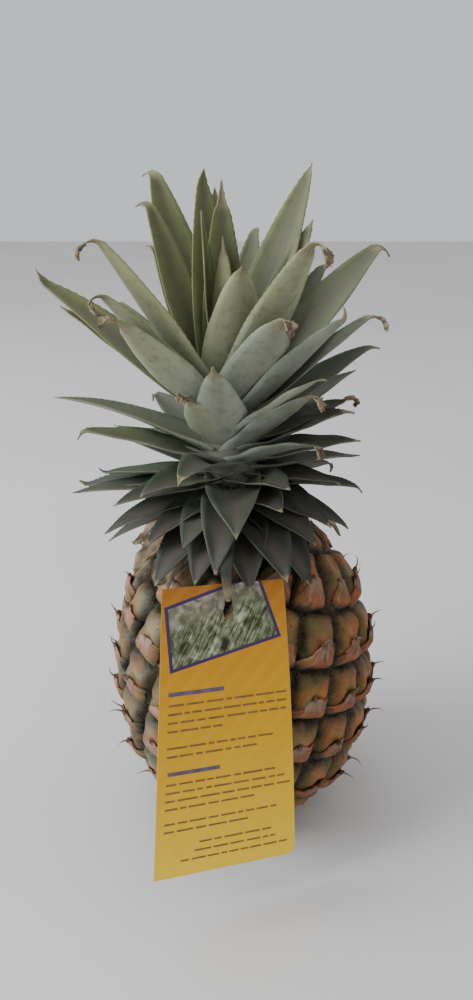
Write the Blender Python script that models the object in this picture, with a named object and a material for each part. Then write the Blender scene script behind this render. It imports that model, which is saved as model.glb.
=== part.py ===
"""A ripe pineapple as it is sold: the fruit, its crown of leaves, and a card tag hooked on the lowest leaf.

The fruit stands on its cut stalk end, in metres, with +Z up and the origin in the middle of that flat end.
The card tag hangs at the front, towards -Y. Azimuths run anticlockwise from +X, seen from above.
"""

import math
import random
from typing import NamedTuple

import bmesh
import bpy
import numpy as np
from mathutils import Vector, geometry

MM = 0.001

# Fruit: a barrel-shaped body whose mean surface is a superellipsoid
FRUIT_RADIUS = 58 * MM
FRUIT_HALF_HEIGHT = 76 * MM
FRUIT_CENTRE = Vector((0, 0, 72 * MM))
FRUIT_ROUNDNESS = 2.2
STALK_END_RADIUS = 20 * MM
CROWN_SEAT_RADIUS = 15 * MM
CROWN_SEAT_HEIGHT = 147.5 * MM
LOWEST_SKIN = 0.5 * MM
HIGHEST_SKIN = 147.6 * MM

# Eyes: the fruitlets, each half covered by its papery bract, which ends in a dry point
EYE_COUNT = 112
EYE_TURN = math.radians(85.1)
FIRST_EYE_AZIMUTH = math.radians(168)
GROOVE_DEPTH = 2.4 * MM
POINT_LENGTH = (6 * MM, 10 * MM)
PRESSED_POINT_LENGTH = 1.2 * MM
UNDER_CROWN_FULLNESS = 0.35
SHOULDER_SHARE = 0.84
SHOULDER_COUNT = 12

# Crown: leaves fused to a short stem
STEM_LEAN = Vector((-9, 6.5, 0)) * MM
STEM_HEIGHTS = (148, 150, 158, 176, 192, 204, 212)
STEM_RADII = (13.5, 13.5, 12, 11.5, 9.5, 6.5, 3)
STEM_LEANS = (0.2, 0.3, 0.55, 0.75, 0.9, 1, 1.05)
STEM_SIDES = 16
LEAF_ROOT_SHARE = 0.65
LEAF_THICKNESS = 2.2 * MM
LEAF_STATIONS = (0, 0.3, 0.58, 0.8, 0.9)
LEAF_CLEARANCE = 7.5 * MM
TIP_STARTS_AT = 0.86

# Card tag: flared, bent over the fruit's belly, with a slot that hooks on a leaf
TAG_TOP_WIDTH = 51 * MM
TAG_BOTTOM_WIDTH = 63 * MM
TAG_LENGTH = 124 * MM
TAG_THICKNESS = 0.5 * MM
TAG_TURN = math.radians(20)
TAG_ROLL = math.radians(-5)
TAG_TOP = Vector((-8.5, -53, 141)) * MM
TAG_BELLY = Vector((-7.5, -71.6, 84)) * MM
TAG_BOTTOM = Vector((-8, -79, 21)) * MM
TAG_CORNER = 3 * MM
SLOT_TOP_DOWN = 4.5 * MM
SLOT_LENGTH = 10.5 * MM
SLOT_TOP_WIDTH = 3 * MM
SLOT_BOTTOM_WIDTH = 5 * MM
SLOT_ACROSS = 1.5 * MM


class Leaf(NamedTuple):
    """One crown leaf: angles in degrees, sizes in millimetres.

    It leaves the stem at a height above the table and rises at one angle, which falls off by the droop
    towards the tip. The dry tip bends down by tip_bend more.
    """

    azimuth: float
    height: float
    length: float
    rise: float
    droop: float
    width: float
    tip_bend: float = 0


# The leaves that show from the front, as the photographed crown has them, from the heart outwards
FRONT_LEAVES = (
    Leaf(92, 201, 88, 89, 0, 20),
    Leaf(172, 201, 77, 87, 0, 14),
    Leaf(122, 201, 94, 83, 2, 23, -40),
    Leaf(-140, 200, 68, 94, 0, 17),
    Leaf(135, 200, 106, 68, 4, 25, 100),
    Leaf(52, 200, 111, 60, 2, 25),
    Leaf(38, 198, 87, 60, 4, 19),
    Leaf(142, 198, 83, 65, 0, 19, 20),
    Leaf(150, 196, 76, 67, 4, 21, 60),
    Leaf(-60, 197, 62, 80, 0, 28),
    Leaf(-38, 197, 86, 64, 6, 26, 120),
    Leaf(24, 194, 102, 48, 8, 26, 100),
    Leaf(-168, 194, 91, 60, 4, 24, 95),
    Leaf(-152, 189, 82, 53, 6, 25, 110),
    Leaf(162, 189, 86, 37, 10, 19, -10),
    Leaf(-55, 190, 62, 60, 6, 28, 60),
    Leaf(-140, 187, 74, 50, 4, 27, 20),
    Leaf(6, 187, 78, 45, 10, 21, 60),
    Leaf(-25, 187, 74, 54, 14, 23, -90),
    Leaf(163, 186, 105, 43, 12, 25, -40),
    Leaf(16, 182, 74, 37, 12, 25, 40),
    Leaf(-40, 182, 55, 44, 8, 24, 40),
    Leaf(-100, 178, 54, 58, 4, 30),
    Leaf(-126, 178, 33, 54, 0, 29, 30),
    Leaf(12, 178, 52, 28, 14, 23, -50),
    Leaf(-6, 176, 51, 31, 16, 25, 20),
    Leaf(-36, 176, 50, 50, 18, 25, 30),
    Leaf(170, 175, 76, 27, 22, 26),
    Leaf(150, 172, 59, 11, 14, 21, -30),
    Leaf(-166, 171, 63, 26, 18, 24, 80),
    Leaf(0, 171, 51, 19, 16, 24),
    Leaf(-38, 171, 42, 34, 22, 25, 30),
    Leaf(-115, 169, 44, 38, 60, 23, 30),
    Leaf(10, 167, 53, 9, 12, 22),
    Leaf(-14, 165, 42, 9, 16, 24, 30),
    Leaf(-146, 165, 40, 16, 30, 25, 20),
    Leaf(174, 165, 54, 3, 10, 21, -60),
    Leaf(-60, 163, 38, 26, 24, 26),
    Leaf(-88, 163, 52, 12, 30, 27, 30),
    Leaf(172, 162, 64, 0, 10, 21, -50),
    Leaf(2, 162, 52, 3, 16, 23, 40),
    Leaf(-155, 162, 48, 8, 24, 25),
    Leaf(-32, 161, 43, -1, 26, 26),
    Leaf(-178, 160, 64, 3, 10, 22),
    Leaf(-48, 159, 45, 0, 30, 26),
    Leaf(-66, 158, 40, 20, 20, 26),
    Leaf(-10, 158, 47, -9, 20, 24, 20),
    Leaf(-116, 158, 42, 2, 30, 26),
    Leaf(-166, 157, 53, -4, 24, 25),
    Leaf(-136, 157, 44, -1, 30, 26),
    Leaf(-70, 156, 50, -2, 24, 27),
    Leaf(-54, 155, 46, -12, 26, 25),
    Leaf(-106, 154, 46, -2, 26, 27),
    Leaf(-88, 154, 46, -4, 20, 25),
    Leaf(178, 154, 55, -14, 20, 23),
    Leaf(-128, 153, 46, -8, 26, 26),
)

# The leaves behind, by the turn of one golden angle from leaf to leaf
BACK_LEAF_COUNT = 22
BACK_AZIMUTHS = (28, 152)
BACK_SHARES = (0.0, 0.3, 0.6, 0.85, 1.0)
BACK_HEIGHTS = (154, 163, 176, 189, 198)
BACK_LENGTHS = (48, 60, 74, 92, 88)
BACK_RISES = (-6, 12, 34, 58, 78)
BACK_DROOPS = (24, 18, 14, 8, 4)
BACK_WIDTHS = (22, 22, 22, 21, 19)

# The dry leaf that the tag's slot is hooked on: its middle line, out from the stem, down and through
HOOK_LINE = (
    Vector((-4, -8, 151)) * MM,
    Vector((-7, -30, 155)) * MM,
    Vector((-7.5, -48, 152)) * MM,
    Vector((-7.5, -56.5, 146)) * MM,
    Vector((-7.2, -58.5, 139.5)) * MM,
    Vector((-7, -56.5, 135)) * MM,
    Vector((-6.8, -52.5, 133)) * MM,
)
HOOK_WIDTHS = (9 * MM, 8 * MM, 6 * MM, 4.4 * MM, 2.8 * MM, 1.7 * MM)
HOOK_THICKNESS = 1 * MM


def clear_scene():
    for old in list(bpy.data.objects):
        bpy.data.objects.remove(old)


def painted(obj, name, colour, roughness):
    """Gives an object a plain material of its own."""
    material = bpy.data.materials.new(name)
    material.use_nodes = True
    shader = material.node_tree.nodes["Principled BSDF"]
    shader.inputs["Base Color"].default_value = (*colour, 1)
    shader.inputs["Roughness"].default_value = roughness
    shader.inputs["Metallic"].default_value = 0
    obj.data.materials.append(material)


def object_from(name, bm):
    """Makes a scene object of a finished bmesh."""
    bmesh.ops.recalc_face_normals(bm, faces=bm.faces)
    mesh = bpy.data.meshes.new(name)
    bm.to_mesh(mesh)
    bm.free()
    obj = bpy.data.objects.new(name, mesh)
    bpy.context.scene.collection.objects.link(obj)
    return obj


# Fruit


def profile_radius(height):
    """The mean surface's radius at a height above the table."""
    level = abs(height - FRUIT_CENTRE.z) / FRUIT_HALF_HEIGHT
    return FRUIT_RADIUS * max(0.0, 1 - level**FRUIT_ROUNDNESS) ** (1 / FRUIT_ROUNDNESS)


def fruit_level(point):
    """1 on the fruit's mean surface, more outside it."""
    out = point - FRUIT_CENTRE
    across = math.hypot(out.x, out.y) / FRUIT_RADIUS
    along = abs(out.z) / FRUIT_HALF_HEIGHT
    return (across**FRUIT_ROUNDNESS + along**FRUIT_ROUNDNESS) ** (1 / FRUIT_ROUNDNESS)


def surface_normal(point):
    """The outward normal of the mean surface that runs through a point."""
    out = point - FRUIT_CENTRE
    across = math.hypot(out.x, out.y)
    power = FRUIT_ROUNDNESS - 1
    pull = (across / FRUIT_RADIUS) ** power / FRUIT_RADIUS / max(across, 1e-9)
    push = (abs(out.z) / FRUIT_HALF_HEIGHT) ** power / FRUIT_HALF_HEIGHT
    return Vector((out.x * pull, out.y * pull, math.copysign(push, out.z))).normalized()


def on_fruit(point, lift=0.0):
    """The mean surface's point in line with a point and the fruit's centre, lifted along the normal."""
    out = point - FRUIT_CENTRE
    base = FRUIT_CENTRE + out / fruit_level(point)
    return base + surface_normal(base) * lift


def eye_centres():
    """Every eye's middle: one even turn on from the last, and each with an equal share of the skin."""
    low = next(h for h in np.arange(0, 60, 0.02) * MM if profile_radius(h) > STALK_END_RADIUS)
    heights = np.linspace(low, CROWN_SEAT_HEIGHT - 0.6 * MM, 1500)
    radii = np.array([profile_radius(h) for h in heights])
    steps = np.hypot(np.diff(radii), np.diff(heights))
    areas = np.concatenate([[0], np.cumsum(steps * (radii[1:] + radii[:-1]) / 2)])
    centres = []
    for index in range(EYE_COUNT):
        share = (index + 0.5) / EYE_COUNT * areas[-1]
        height = float(np.interp(share, areas, heights))
        turn = FIRST_EYE_AZIMUTH + index * EYE_TURN
        radius = profile_radius(height)
        centres.append(Vector((radius * math.cos(turn), radius * math.sin(turn), height)))
    return centres


def eye_cells(centres):
    """The corners round each eye: (triangle key, corner point) in order of direction, and both end caps."""
    poles = [Vector((0, 0, -8 * MM)), Vector((0, 0, 154 * MM))]
    hull = bmesh.new()
    for point in centres + poles:
        hull.verts.new(point)
    hull.verts.index_update()
    bmesh.ops.convex_hull(hull, input=hull.verts)
    bmesh.ops.triangulate(hull, faces=hull.faces)
    around = [[] for _ in range(len(centres) + 2)]
    for face in hull.faces:
        members = tuple(sorted(v.index for v in face.verts))
        middle = sum((v.co for v in face.verts), Vector()) / 3
        if members[-1] >= len(centres):
            top = members[-1] > len(centres)
            radius = CROWN_SEAT_RADIUS if top else STALK_END_RADIUS
            flat = Vector((middle.x, middle.y, 0)).normalized() * radius
            corner = flat + Vector((0, 0, CROWN_SEAT_HEIGHT if top else 0))
        else:
            corner = on_fruit(middle, -GROOVE_DEPTH)
        for index in members:
            around[index].append((members, corner))
    hull.free()
    return around


def tangent_frame(centre):
    """East and north directions on the skin at an eye: north runs up the fruit towards the crown."""
    normal = surface_normal(centre)
    east = Vector((0, 0, 1)).cross(normal).normalized()
    return east, normal.cross(east), normal


def eye_template():
    """The points of an eye inside its groove: share of the way east and north, and lift in millimetres.

    The upper part is the domed eye itself. The lower part is its bract, a step higher, whose two sides run
    up from the lower corners to the point in the middle. The last three are the foot of that dry point.
    """
    shoulder = []
    for step in range(SHOULDER_COUNT):
        turn = math.tau * step / SHOULDER_COUNT
        lift = 1.0 if math.sin(turn) > -0.1 else 1.3
        shoulder.append((SHOULDER_SHARE * math.cos(turn), SHOULDER_SHARE * math.sin(turn), lift))
    dome = [(0.42, 0.30, 2.7), (0, 0.52, 2.6), (-0.42, 0.30, 2.7), (0, 0.26, 3.1)]
    foot = [(0.56, -0.10, 1.9), (0, 0.15, 2.7), (-0.56, -0.10, 1.9)]
    bract = [(0.52, -0.22, 2.9), (-0.52, -0.22, 2.9), (0, -0.48, 2.7)]
    point_foot = [(0.2, -0.10, 3.7), (0, 0.04, 3.7), (-0.2, -0.10, 3.7)]
    return shoulder + dome + foot + bract + point_foot


def point_length(centre, rng):
    """How far a bract's dry point stands out: it is pressed flat under the crown, the tag and the fruit."""
    length = rng.uniform(*POINT_LENGTH)
    under_crown = centre.z > 122 * MM
    under_fruit = centre.z < 16 * MM
    behind_tag = centre.y < -34 * MM and -46 * MM < centre.x < 30 * MM
    return PRESSED_POINT_LENGTH if under_crown or under_fruit or behind_tag else length


def add_eye(bm, shared, centre, cell, rng):
    """Adds one eye's skin, from its groove to its dry point, to the fruit's mesh."""
    east, north, normal = tangent_frame(centre)

    def flat(point):
        return (point - centre).dot(east), (point - centre).dot(north)

    cell = sorted(cell, key=lambda entry: math.atan2(*reversed(flat(entry[1]))))
    loop = []
    for (key, corner), (next_key, next_corner) in zip(cell, cell[1:] + cell[:1]):
        loop.append((key, corner))
        middle = (corner + next_corner) / 2
        at_end = len(set(key) & set(next_key) & {EYE_COUNT, EYE_COUNT + 1}) > 0
        lifted = middle if at_end else on_fruit(middle, -GROOVE_DEPTH * 0.85)
        loop.append((tuple(sorted((key, next_key))), lifted))
    rim = []
    for key, point in loop:
        if key not in shared:
            shared[key] = bm.verts.new(point)
        rim.append(shared[key])
    edge = [flat(vert.co) for vert in rim]
    turns = [math.atan2(north_off, east_off) for east_off, north_off in edge]
    template = eye_template()
    flat_points = [Vector((math.cos(turn), math.sin(turn))) for turn in turns]
    flat_points += [Vector(entry[:2]) for entry in template]

    verts = list(rim)
    fullness = UNDER_CROWN_FULLNESS if centre.z > 134 * MM else 1
    for across, up, lift in template:
        direction = Vector((across, up)).normalized()
        reach = reach_of_cell(edge, direction)
        share = math.hypot(across, up)
        place = centre + (east * direction.x + north * direction.y) * reach * share
        point = on_fruit(place, lift * fullness * MM)
        point.z = min(max(point.z, LOWEST_SKIN), HIGHEST_SKIN)
        verts.append(bm.verts.new(point))
    count = len(rim)
    result = geometry.delaunay_2d_cdt(flat_points, [], [list(range(count))], 1, 1e-6)
    origin = [sources[0] for sources in result[3]]
    foot = set(range(len(verts) - 3, len(verts)))
    for triangle in result[2]:
        corners = [origin[index] for index in triangle]
        if set(corners) != foot:
            bm.faces.new([verts[index] for index in corners])
    lean = normal * 0.8 + north * 0.6 + east * rng.uniform(-0.3, 0.3)
    add_dry_point(bm, verts[-3:], lean.normalized() * point_length(centre, rng), normal)


def reach_of_cell(edge, direction):
    """How far the cell's outline lies from the eye's middle in one direction."""
    for (ax, ay), (bx, by) in zip(edge, edge[1:] + edge[:1]):
        along = Vector((bx - ax, by - ay))
        cross = direction.x * along.y - direction.y * along.x
        if abs(cross) < 1e-12:
            continue
        reach = (ax * along.y - ay * along.x) / cross
        share = (ax * direction.y - ay * direction.x) / cross
        if reach > 0 and -1e-6 <= share <= 1 + 1e-6:
            return reach
    return 0.0


def add_dry_point(bm, foot, lean, normal):
    """Raises a bract's point from its three-sided foot: straight out first, then bent towards the crown."""
    middle = sum((vert.co for vert in foot), Vector()) / 3
    waist_at = middle + lean * 0.45 + normal * lean.length * 0.12
    waist = [bm.verts.new(waist_at + (vert.co - middle) * 0.42) for vert in foot]
    tip = bm.verts.new(middle + lean)
    for vert in waist + [tip]:
        vert.co.z = min(max(vert.co.z, LOWEST_SKIN), HIGHEST_SKIN)
    for index in range(3):
        after = (index + 1) % 3
        bm.faces.new((foot[index], foot[after], waist[after], waist[index]))
        bm.faces.new((waist[index], waist[after], tip))


def make_fruit():
    """The whole fruit as one closed skin: eyes, bracts and dry points, the stalk end and the crown's seat."""
    rng = random.Random(7)
    bm = bmesh.new()
    centres = eye_centres()
    cells = eye_cells(centres)
    shared = {}
    for centre, cell in zip(centres, cells):
        add_eye(bm, shared, centre, cell, rng)
    open_edges = [edge for edge in bm.edges if edge.is_boundary]
    bmesh.ops.holes_fill(bm, edges=open_edges)
    bmesh.ops.triangulate(bm, faces=bm.faces)
    fruit = object_from("fruit", bm)
    painted(fruit, "pineapple_rind", (0.32, 0.17, 0.06), 0.6)
    return fruit


# Crown


def stem_at(height):
    """The stem's centre and radius at a height in millimetres: it leans a little to the left and back."""
    lean = STEM_LEAN * float(np.interp(height, STEM_HEIGHTS, STEM_LEANS))
    radius = float(np.interp(height, STEM_HEIGHTS, STEM_RADII)) * MM
    return lean + Vector((0, 0, height * MM)), radius


def share_of_width(along):
    """A leaf's width along its length: narrow where it leaves the stem, even, then tapering to its tip."""
    return min(1.0, 0.5 + 2 * along) * (0.86 + 1.3 * along) * (1 - along)


def leaf_line(leaf):
    """The middle line of a leaf: points and directions at the stations, with the tip last."""
    turn = math.radians(leaf.azimuth)
    outward = Vector((math.cos(turn), math.sin(turn), 0))
    steps = 60
    centre, radius = stem_at(leaf.height)
    point = centre + outward * radius * LEAF_ROOT_SHARE
    line = [point.copy()]
    for step in range(steps):
        along = (step + 0.5) / steps
        into_tip = max(0.0, along - TIP_STARTS_AT) / (1 - TIP_STARTS_AT)
        angle = math.radians(leaf.rise - leaf.droop * along**1.3 - leaf.tip_bend * into_tip**0.7)
        point = point + (outward * math.cos(angle) + Vector((0, 0, math.sin(angle)))) * (
            leaf.length * MM / steps
        )
        line.append(keep_off_fruit(point))
    return line, outward


def keep_off_fruit(point):
    """Moves a point of a drooping leaf out until it clears the eyes below it."""
    surface = on_fruit(point)
    gap = (point - surface).dot(surface_normal(surface))
    if fruit_level(point) > 1 and gap >= LEAF_CLEARANCE or math.hypot(point.x, point.y) < CROWN_SEAT_RADIUS:
        return point.copy()
    return on_fruit(point, LEAF_CLEARANCE)


def blade(name, line, side, half_widths, thickness, channel):
    """A closed blade along a line: a shallow channel in section, thick in the middle, thin at its edges."""
    bm = bmesh.new()
    rings = []
    count = len(line)
    for index in range(count - 1):
        ahead = line[min(index + 1, count - 1)] - line[max(index - 1, 0)]
        inner = ahead.cross(side).normalized()
        across = side * half_widths[index]
        lift = inner * half_widths[index] * channel
        thick = inner * thickness / 2 * min(1.0, 0.45 + half_widths[index] / (6 * MM))
        places = (
            line[index] - across + lift,
            line[index] - thick,
            line[index] + across + lift,
            line[index] + thick,
        )
        rings.append([bm.verts.new(place) for place in places])
    tip = bm.verts.new(line[-1])
    bm.faces.new(rings[0])
    for ring, after in zip(rings, rings[1:]):
        for index in range(4):
            beside = (index + 1) % 4
            bm.faces.new((ring[index], ring[beside], after[beside], after[index]))
    for index in range(4):
        bm.faces.new((rings[-1][index], rings[-1][(index + 1) % 4], tip))
    bmesh.ops.triangulate(bm, faces=bm.faces)
    return object_from(name, bm)


def leaf_blade(name, leaf):
    line, outward = leaf_line(leaf)
    stations = [line[round(share * (len(line) - 1))] for share in LEAF_STATIONS] + [line[-1]]
    side = Vector((0, 0, 1)).cross(outward)
    half_widths = [leaf.width * MM / 2 * share_of_width(share) for share in LEAF_STATIONS]
    return blade(name, stations, side, half_widths, LEAF_THICKNESS, 0.38)


def hook_blade():
    """The dry leaf that goes down in front of the tag and back through its slot, its edges turned under."""
    half_widths = [width / 2 for width in HOOK_WIDTHS]
    return blade("hook", list(HOOK_LINE), Vector((1, 0, 0)), half_widths, HOOK_THICKNESS, -0.1)


def back_leaves():
    """The leaves on the far side, which follow the same run from low and flat to tall and upright."""
    rng = random.Random(11)
    leaves = []
    turn = 0.0
    low, high = BACK_AZIMUTHS
    for index in range(BACK_LEAF_COUNT):
        turn = (turn + 0.618034) % 1
        share = index / (BACK_LEAF_COUNT - 1)
        values = [
            float(np.interp(share, BACK_SHARES, column))
            for column in (BACK_HEIGHTS, BACK_LENGTHS, BACK_RISES, BACK_DROOPS, BACK_WIDTHS)
        ]
        height, length, rise, droop, width = values
        bend = rng.choice((0, 0, 60, -40, 100))
        length *= rng.uniform(0.92, 1.08)
        leaves.append(Leaf(low + turn * (high - low), height, length, rise, droop, width, bend))
    return leaves


def make_stem():
    """The crown's short stem, from its seat on the fruit to the heart of the crown."""
    bm = bmesh.new()
    rings = []
    for height in STEM_HEIGHTS:
        centre, radius = stem_at(height)
        ring = []
        for step in range(STEM_SIDES):
            turn = math.tau * step / STEM_SIDES
            ring.append(bm.verts.new(centre + Vector((math.cos(turn), math.sin(turn), 0)) * radius))
        rings.append(ring)
    bm.faces.new(rings[0])
    bm.faces.new(rings[-1])
    for ring, after in zip(rings, rings[1:]):
        for index in range(STEM_SIDES):
            beside = (index + 1) % STEM_SIDES
            bm.faces.new((ring[index], ring[beside], after[beside], after[index]))
    bmesh.ops.triangulate(bm, faces=bm.faces)
    return object_from("crown", bm)


def fill_hidden_pockets(obj):
    """Keeps only the outer skin of a joined body, so that no pocket stays closed in between its leaves."""
    bm = bmesh.new()
    bm.from_mesh(obj.data)
    unseen = set(bm.verts)
    skins = []
    while unseen:
        skin = {unseen.pop()}
        edge = list(skin)
        while edge:
            vert = edge.pop()
            for link in vert.link_edges:
                other = link.other_vert(vert)
                if other in unseen:
                    unseen.remove(other)
                    skin.add(other)
                    edge.append(other)
        skins.append(skin)
    outer = max(skins, key=lambda skin: max(vert.co.z for vert in skin))
    inner = [vert for vert in bm.verts if vert not in outer]
    bmesh.ops.delete(bm, geom=inner, context="VERTS")
    bm.to_mesh(obj.data)
    bm.free()


def make_crown():
    """The stem with every leaf joined to it."""
    crown = make_stem()
    leaves = bpy.data.collections.new("leaves")
    bpy.context.scene.collection.children.link(leaves)
    blades = [
        leaf_blade(f"leaf_{index}", leaf)
        for index, leaf in enumerate(list(FRONT_LEAVES) + back_leaves())
    ]
    blades.append(hook_blade())
    for made in blades:
        bpy.context.scene.collection.objects.unlink(made)
        leaves.objects.link(made)
    join = crown.modifiers.new("join", "BOOLEAN")
    join.operation = "UNION"
    join.operand_type = "COLLECTION"
    join.collection = leaves
    join.solver = "MANIFOLD"
    bpy.context.view_layer.objects.active = crown
    bpy.ops.object.modifier_apply(modifier=join.name)
    for made in blades:
        bpy.data.objects.remove(made)
    bpy.data.collections.remove(leaves)
    fill_hidden_pockets(crown)
    painted(crown, "crown_leaf", (0.10, 0.14, 0.07), 0.55)
    return crown


# Card tag


def tag_line(along):
    """The tag's middle line from its top, 0, to its bottom edge, 1: bent once over the fruit's belly."""
    pull = 2 * TAG_BELLY - (TAG_TOP + TAG_BOTTOM) / 2
    rest = 1 - along
    return TAG_TOP * rest * rest + pull * 2 * rest * along + TAG_BOTTOM * along * along


def tag_point(across, down):
    """A point of the card: across from its middle line and down from its top edge, in metres."""
    along = down / TAG_LENGTH
    width_way = Vector(
        (
            math.cos(TAG_TURN) * math.cos(TAG_ROLL),
            math.sin(TAG_TURN) * math.cos(TAG_ROLL),
            math.sin(TAG_ROLL),
        )
    )
    return tag_line(along) + width_way * across


def tag_edges(down):
    """Both side edges of the card: it flares evenly downwards, and its bottom right corner is worn round."""
    along = down / TAG_LENGTH
    half = (TAG_TOP_WIDTH + (TAG_BOTTOM_WIDTH - TAG_TOP_WIDTH) * along) / 2
    into_corner = max(0.0, down - (TAG_LENGTH - TAG_CORNER)) / TAG_CORNER
    worn = TAG_CORNER * (1 - math.sqrt(max(0.0, 1 - into_corner**2)))
    return -half, half - worn


def make_tag():
    """The card: a bent sheet with its slot left open, given the thickness of card."""
    slot_rows = [SLOT_TOP_DOWN + SLOT_LENGTH * share for share in (0, 0.15, 0.4, 0.65, 0.88, 1)]
    slot_half = [SLOT_TOP_WIDTH * 0.25, SLOT_TOP_WIDTH * 0.5, SLOT_TOP_WIDTH * 0.55]
    slot_half += [SLOT_BOTTOM_WIDTH * 0.46, SLOT_BOTTOM_WIDTH * 0.4, SLOT_BOTTOM_WIDTH * 0.2]
    lower = [TAG_LENGTH * share for share in (0.2, 0.32, 0.44, 0.56, 0.68, 0.8, 0.9)]
    corner = [TAG_LENGTH - TAG_CORNER * share for share in (1, 0.5, 0.15, 0)]
    rows = [0.0] + slot_rows + lower + corner
    bm = bmesh.new()
    grid = []
    for index, down in enumerate(rows):
        left, right = tag_edges(down)
        in_slot = 0 < index <= len(slot_half)
        slot = slot_half[index - 1] if in_slot else SLOT_BOTTOM_WIDTH * 0.4
        stations = (left, SLOT_ACROSS - slot, SLOT_ACROSS + slot, right)
        grid.append([bm.verts.new(tag_point(across, down)) for across in stations])
    for index, (row, after) in enumerate(zip(grid, grid[1:])):
        for column in range(3):
            if column == 1 and 1 <= index < len(slot_half):
                continue
            bm.faces.new((row[column], row[column + 1], after[column + 1], after[column]))
    tag = object_from("tag", bm)
    card = tag.modifiers.new("card", "SOLIDIFY")
    card.thickness = TAG_THICKNESS
    card.offset = 0
    painted(tag, "printed_card", (0.72, 0.48, 0.08), 0.45)
    return tag


clear_scene()
make_fruit()
make_crown()
make_tag()
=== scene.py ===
"""A ripe pineapple with its leafy crown and the card tag that hangs on it, standing on a pale table.

Metres, +Z up, the origin in the middle of the flat stalk end. Azimuths run anticlockwise from +X.
"""

import math
import random

import bpy
import numpy as np
from mathutils import Matrix, Vector


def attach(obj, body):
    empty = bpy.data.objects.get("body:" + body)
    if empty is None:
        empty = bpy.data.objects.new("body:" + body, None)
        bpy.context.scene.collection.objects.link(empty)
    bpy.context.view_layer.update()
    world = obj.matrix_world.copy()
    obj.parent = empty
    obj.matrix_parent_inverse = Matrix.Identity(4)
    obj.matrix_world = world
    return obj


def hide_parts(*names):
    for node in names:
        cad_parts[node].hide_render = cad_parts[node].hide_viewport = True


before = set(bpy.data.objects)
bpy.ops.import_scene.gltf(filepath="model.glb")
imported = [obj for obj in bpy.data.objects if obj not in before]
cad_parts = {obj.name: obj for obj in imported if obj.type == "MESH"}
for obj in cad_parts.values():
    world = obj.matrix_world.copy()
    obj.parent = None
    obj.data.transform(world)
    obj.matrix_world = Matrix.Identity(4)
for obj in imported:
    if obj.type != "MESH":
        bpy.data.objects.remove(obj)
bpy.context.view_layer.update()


# Viewpoint: the fruit seen from just above its crown and close by, with a phone's wide lens.
# The picture is 473 by 1000, and 850 of its pixels are the lens's distance from it.
SENSOR_HEIGHT = 24
camera_data = bpy.data.cameras.new("viewpoint")
camera_data.sensor_fit = "VERTICAL"
camera_data.sensor_height = SENSOR_HEIGHT
camera_data.lens = SENSOR_HEIGHT * 850 / 1000
camera_data.clip_start = 0.01
viewpoint = bpy.data.objects.new("viewpoint", camera_data)
bpy.context.scene.collection.objects.link(viewpoint)
viewpoint.location = (-0.0036, -0.353, 0.298)
viewpoint.rotation_euler = (math.radians(68), 0, 0)
bpy.context.scene.camera = viewpoint


# Rind: the skin of the fruit, a barrel of some hundred domed eyes in spiral rows, with narrow grooves.
# It is grown in one piece, cut flat across the stalk below, and has a flat seat under the crown.
MM = 0.001
FRUIT_RADIUS = 58 * MM
FRUIT_HALF_HEIGHT = 76 * MM
FRUIT_CENTRE = np.array((0, 0, 72 * MM))
FRUIT_ROUNDNESS = 2.2
STALK_END_RADIUS = 20 * MM
CROWN_SEAT_HEIGHT = 147.5 * MM
EYE_COUNT = 112
EYE_TURN = math.radians(85.1)
FIRST_EYE_AZIMUTH = math.radians(168)
GROOVE_DEPTH = 2.3 * MM
DOME_RISE = 5.1 * MM
SHOULDER_WIDTH = 2.3 * MM
UNDER_CROWN_FULLNESS = 0.35
PIT_RADIUS = 2.2 * MM
SWELL_COUNT = 9
SWELL_HEIGHT = 0.17 * MM
RIND_SEGMENTS = 400
RIND_RINGS = 236

# A mix of colours: its share is input 0, its two colours are inputs 6 and 7
COLOUR_MIX = {"output": 2, "data_type": "RGBA"}


def linear(code):
    """An sRGB hex value as the linear colour that a shader takes."""
    parts = [int(code[place : place + 2], 16) / 255 for place in (1, 3, 5)]
    return tuple(c / 12.92 if c <= 0.04045 else ((c + 0.055) / 1.055) ** 2.4 for c in parts) + (1,)


def set_inputs(node, inputs):
    """Gives a node's inputs their values, or links from other nodes' outputs."""
    for key, value in inputs.items():
        if isinstance(value, bpy.types.NodeSocket):
            node.id_data.links.new(value, node.inputs[key])
        else:
            node.inputs[key].default_value = value


def add_node(tree, kind, inputs=(), stops=(), output=0, **settings):
    """Adds a shader node with its settings, its colour stops and its inputs, which go by number or name,
    and gives the output that is asked for."""
    made = tree.nodes.new("ShaderNode" + kind)
    for key, value in settings.items():
        setattr(made, key, value)
    if stops:
        elements = made.color_ramp.elements
        while len(elements) < len(stops):
            elements.new(0.5)
        for element, (place, code) in zip(elements, stops):
            element.position = place
            element.color = linear(code)
    set_inputs(made, inputs if isinstance(inputs, dict) else dict(enumerate(inputs)))
    return made.outputs[output]


def new_material(name):
    """A material with a Principled shader, and its node tree."""
    material = bpy.data.materials.new(name)
    material.use_nodes = True
    return material, material.node_tree, material.node_tree.nodes["Principled BSDF"]


def profile_radius(height):
    level = abs(height - FRUIT_CENTRE[2]) / FRUIT_HALF_HEIGHT
    return FRUIT_RADIUS * max(0.0, 1 - level**FRUIT_ROUNDNESS) ** (1 / FRUIT_ROUNDNESS)


def level_of(points):
    """1 on the fruit's mean surface, more outside it."""
    out = points - FRUIT_CENTRE
    across = np.hypot(out[..., 0], out[..., 1]) / FRUIT_RADIUS
    along = np.abs(out[..., 2]) / FRUIT_HALF_HEIGHT
    return (across**FRUIT_ROUNDNESS + along**FRUIT_ROUNDNESS) ** (1 / FRUIT_ROUNDNESS)


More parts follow.
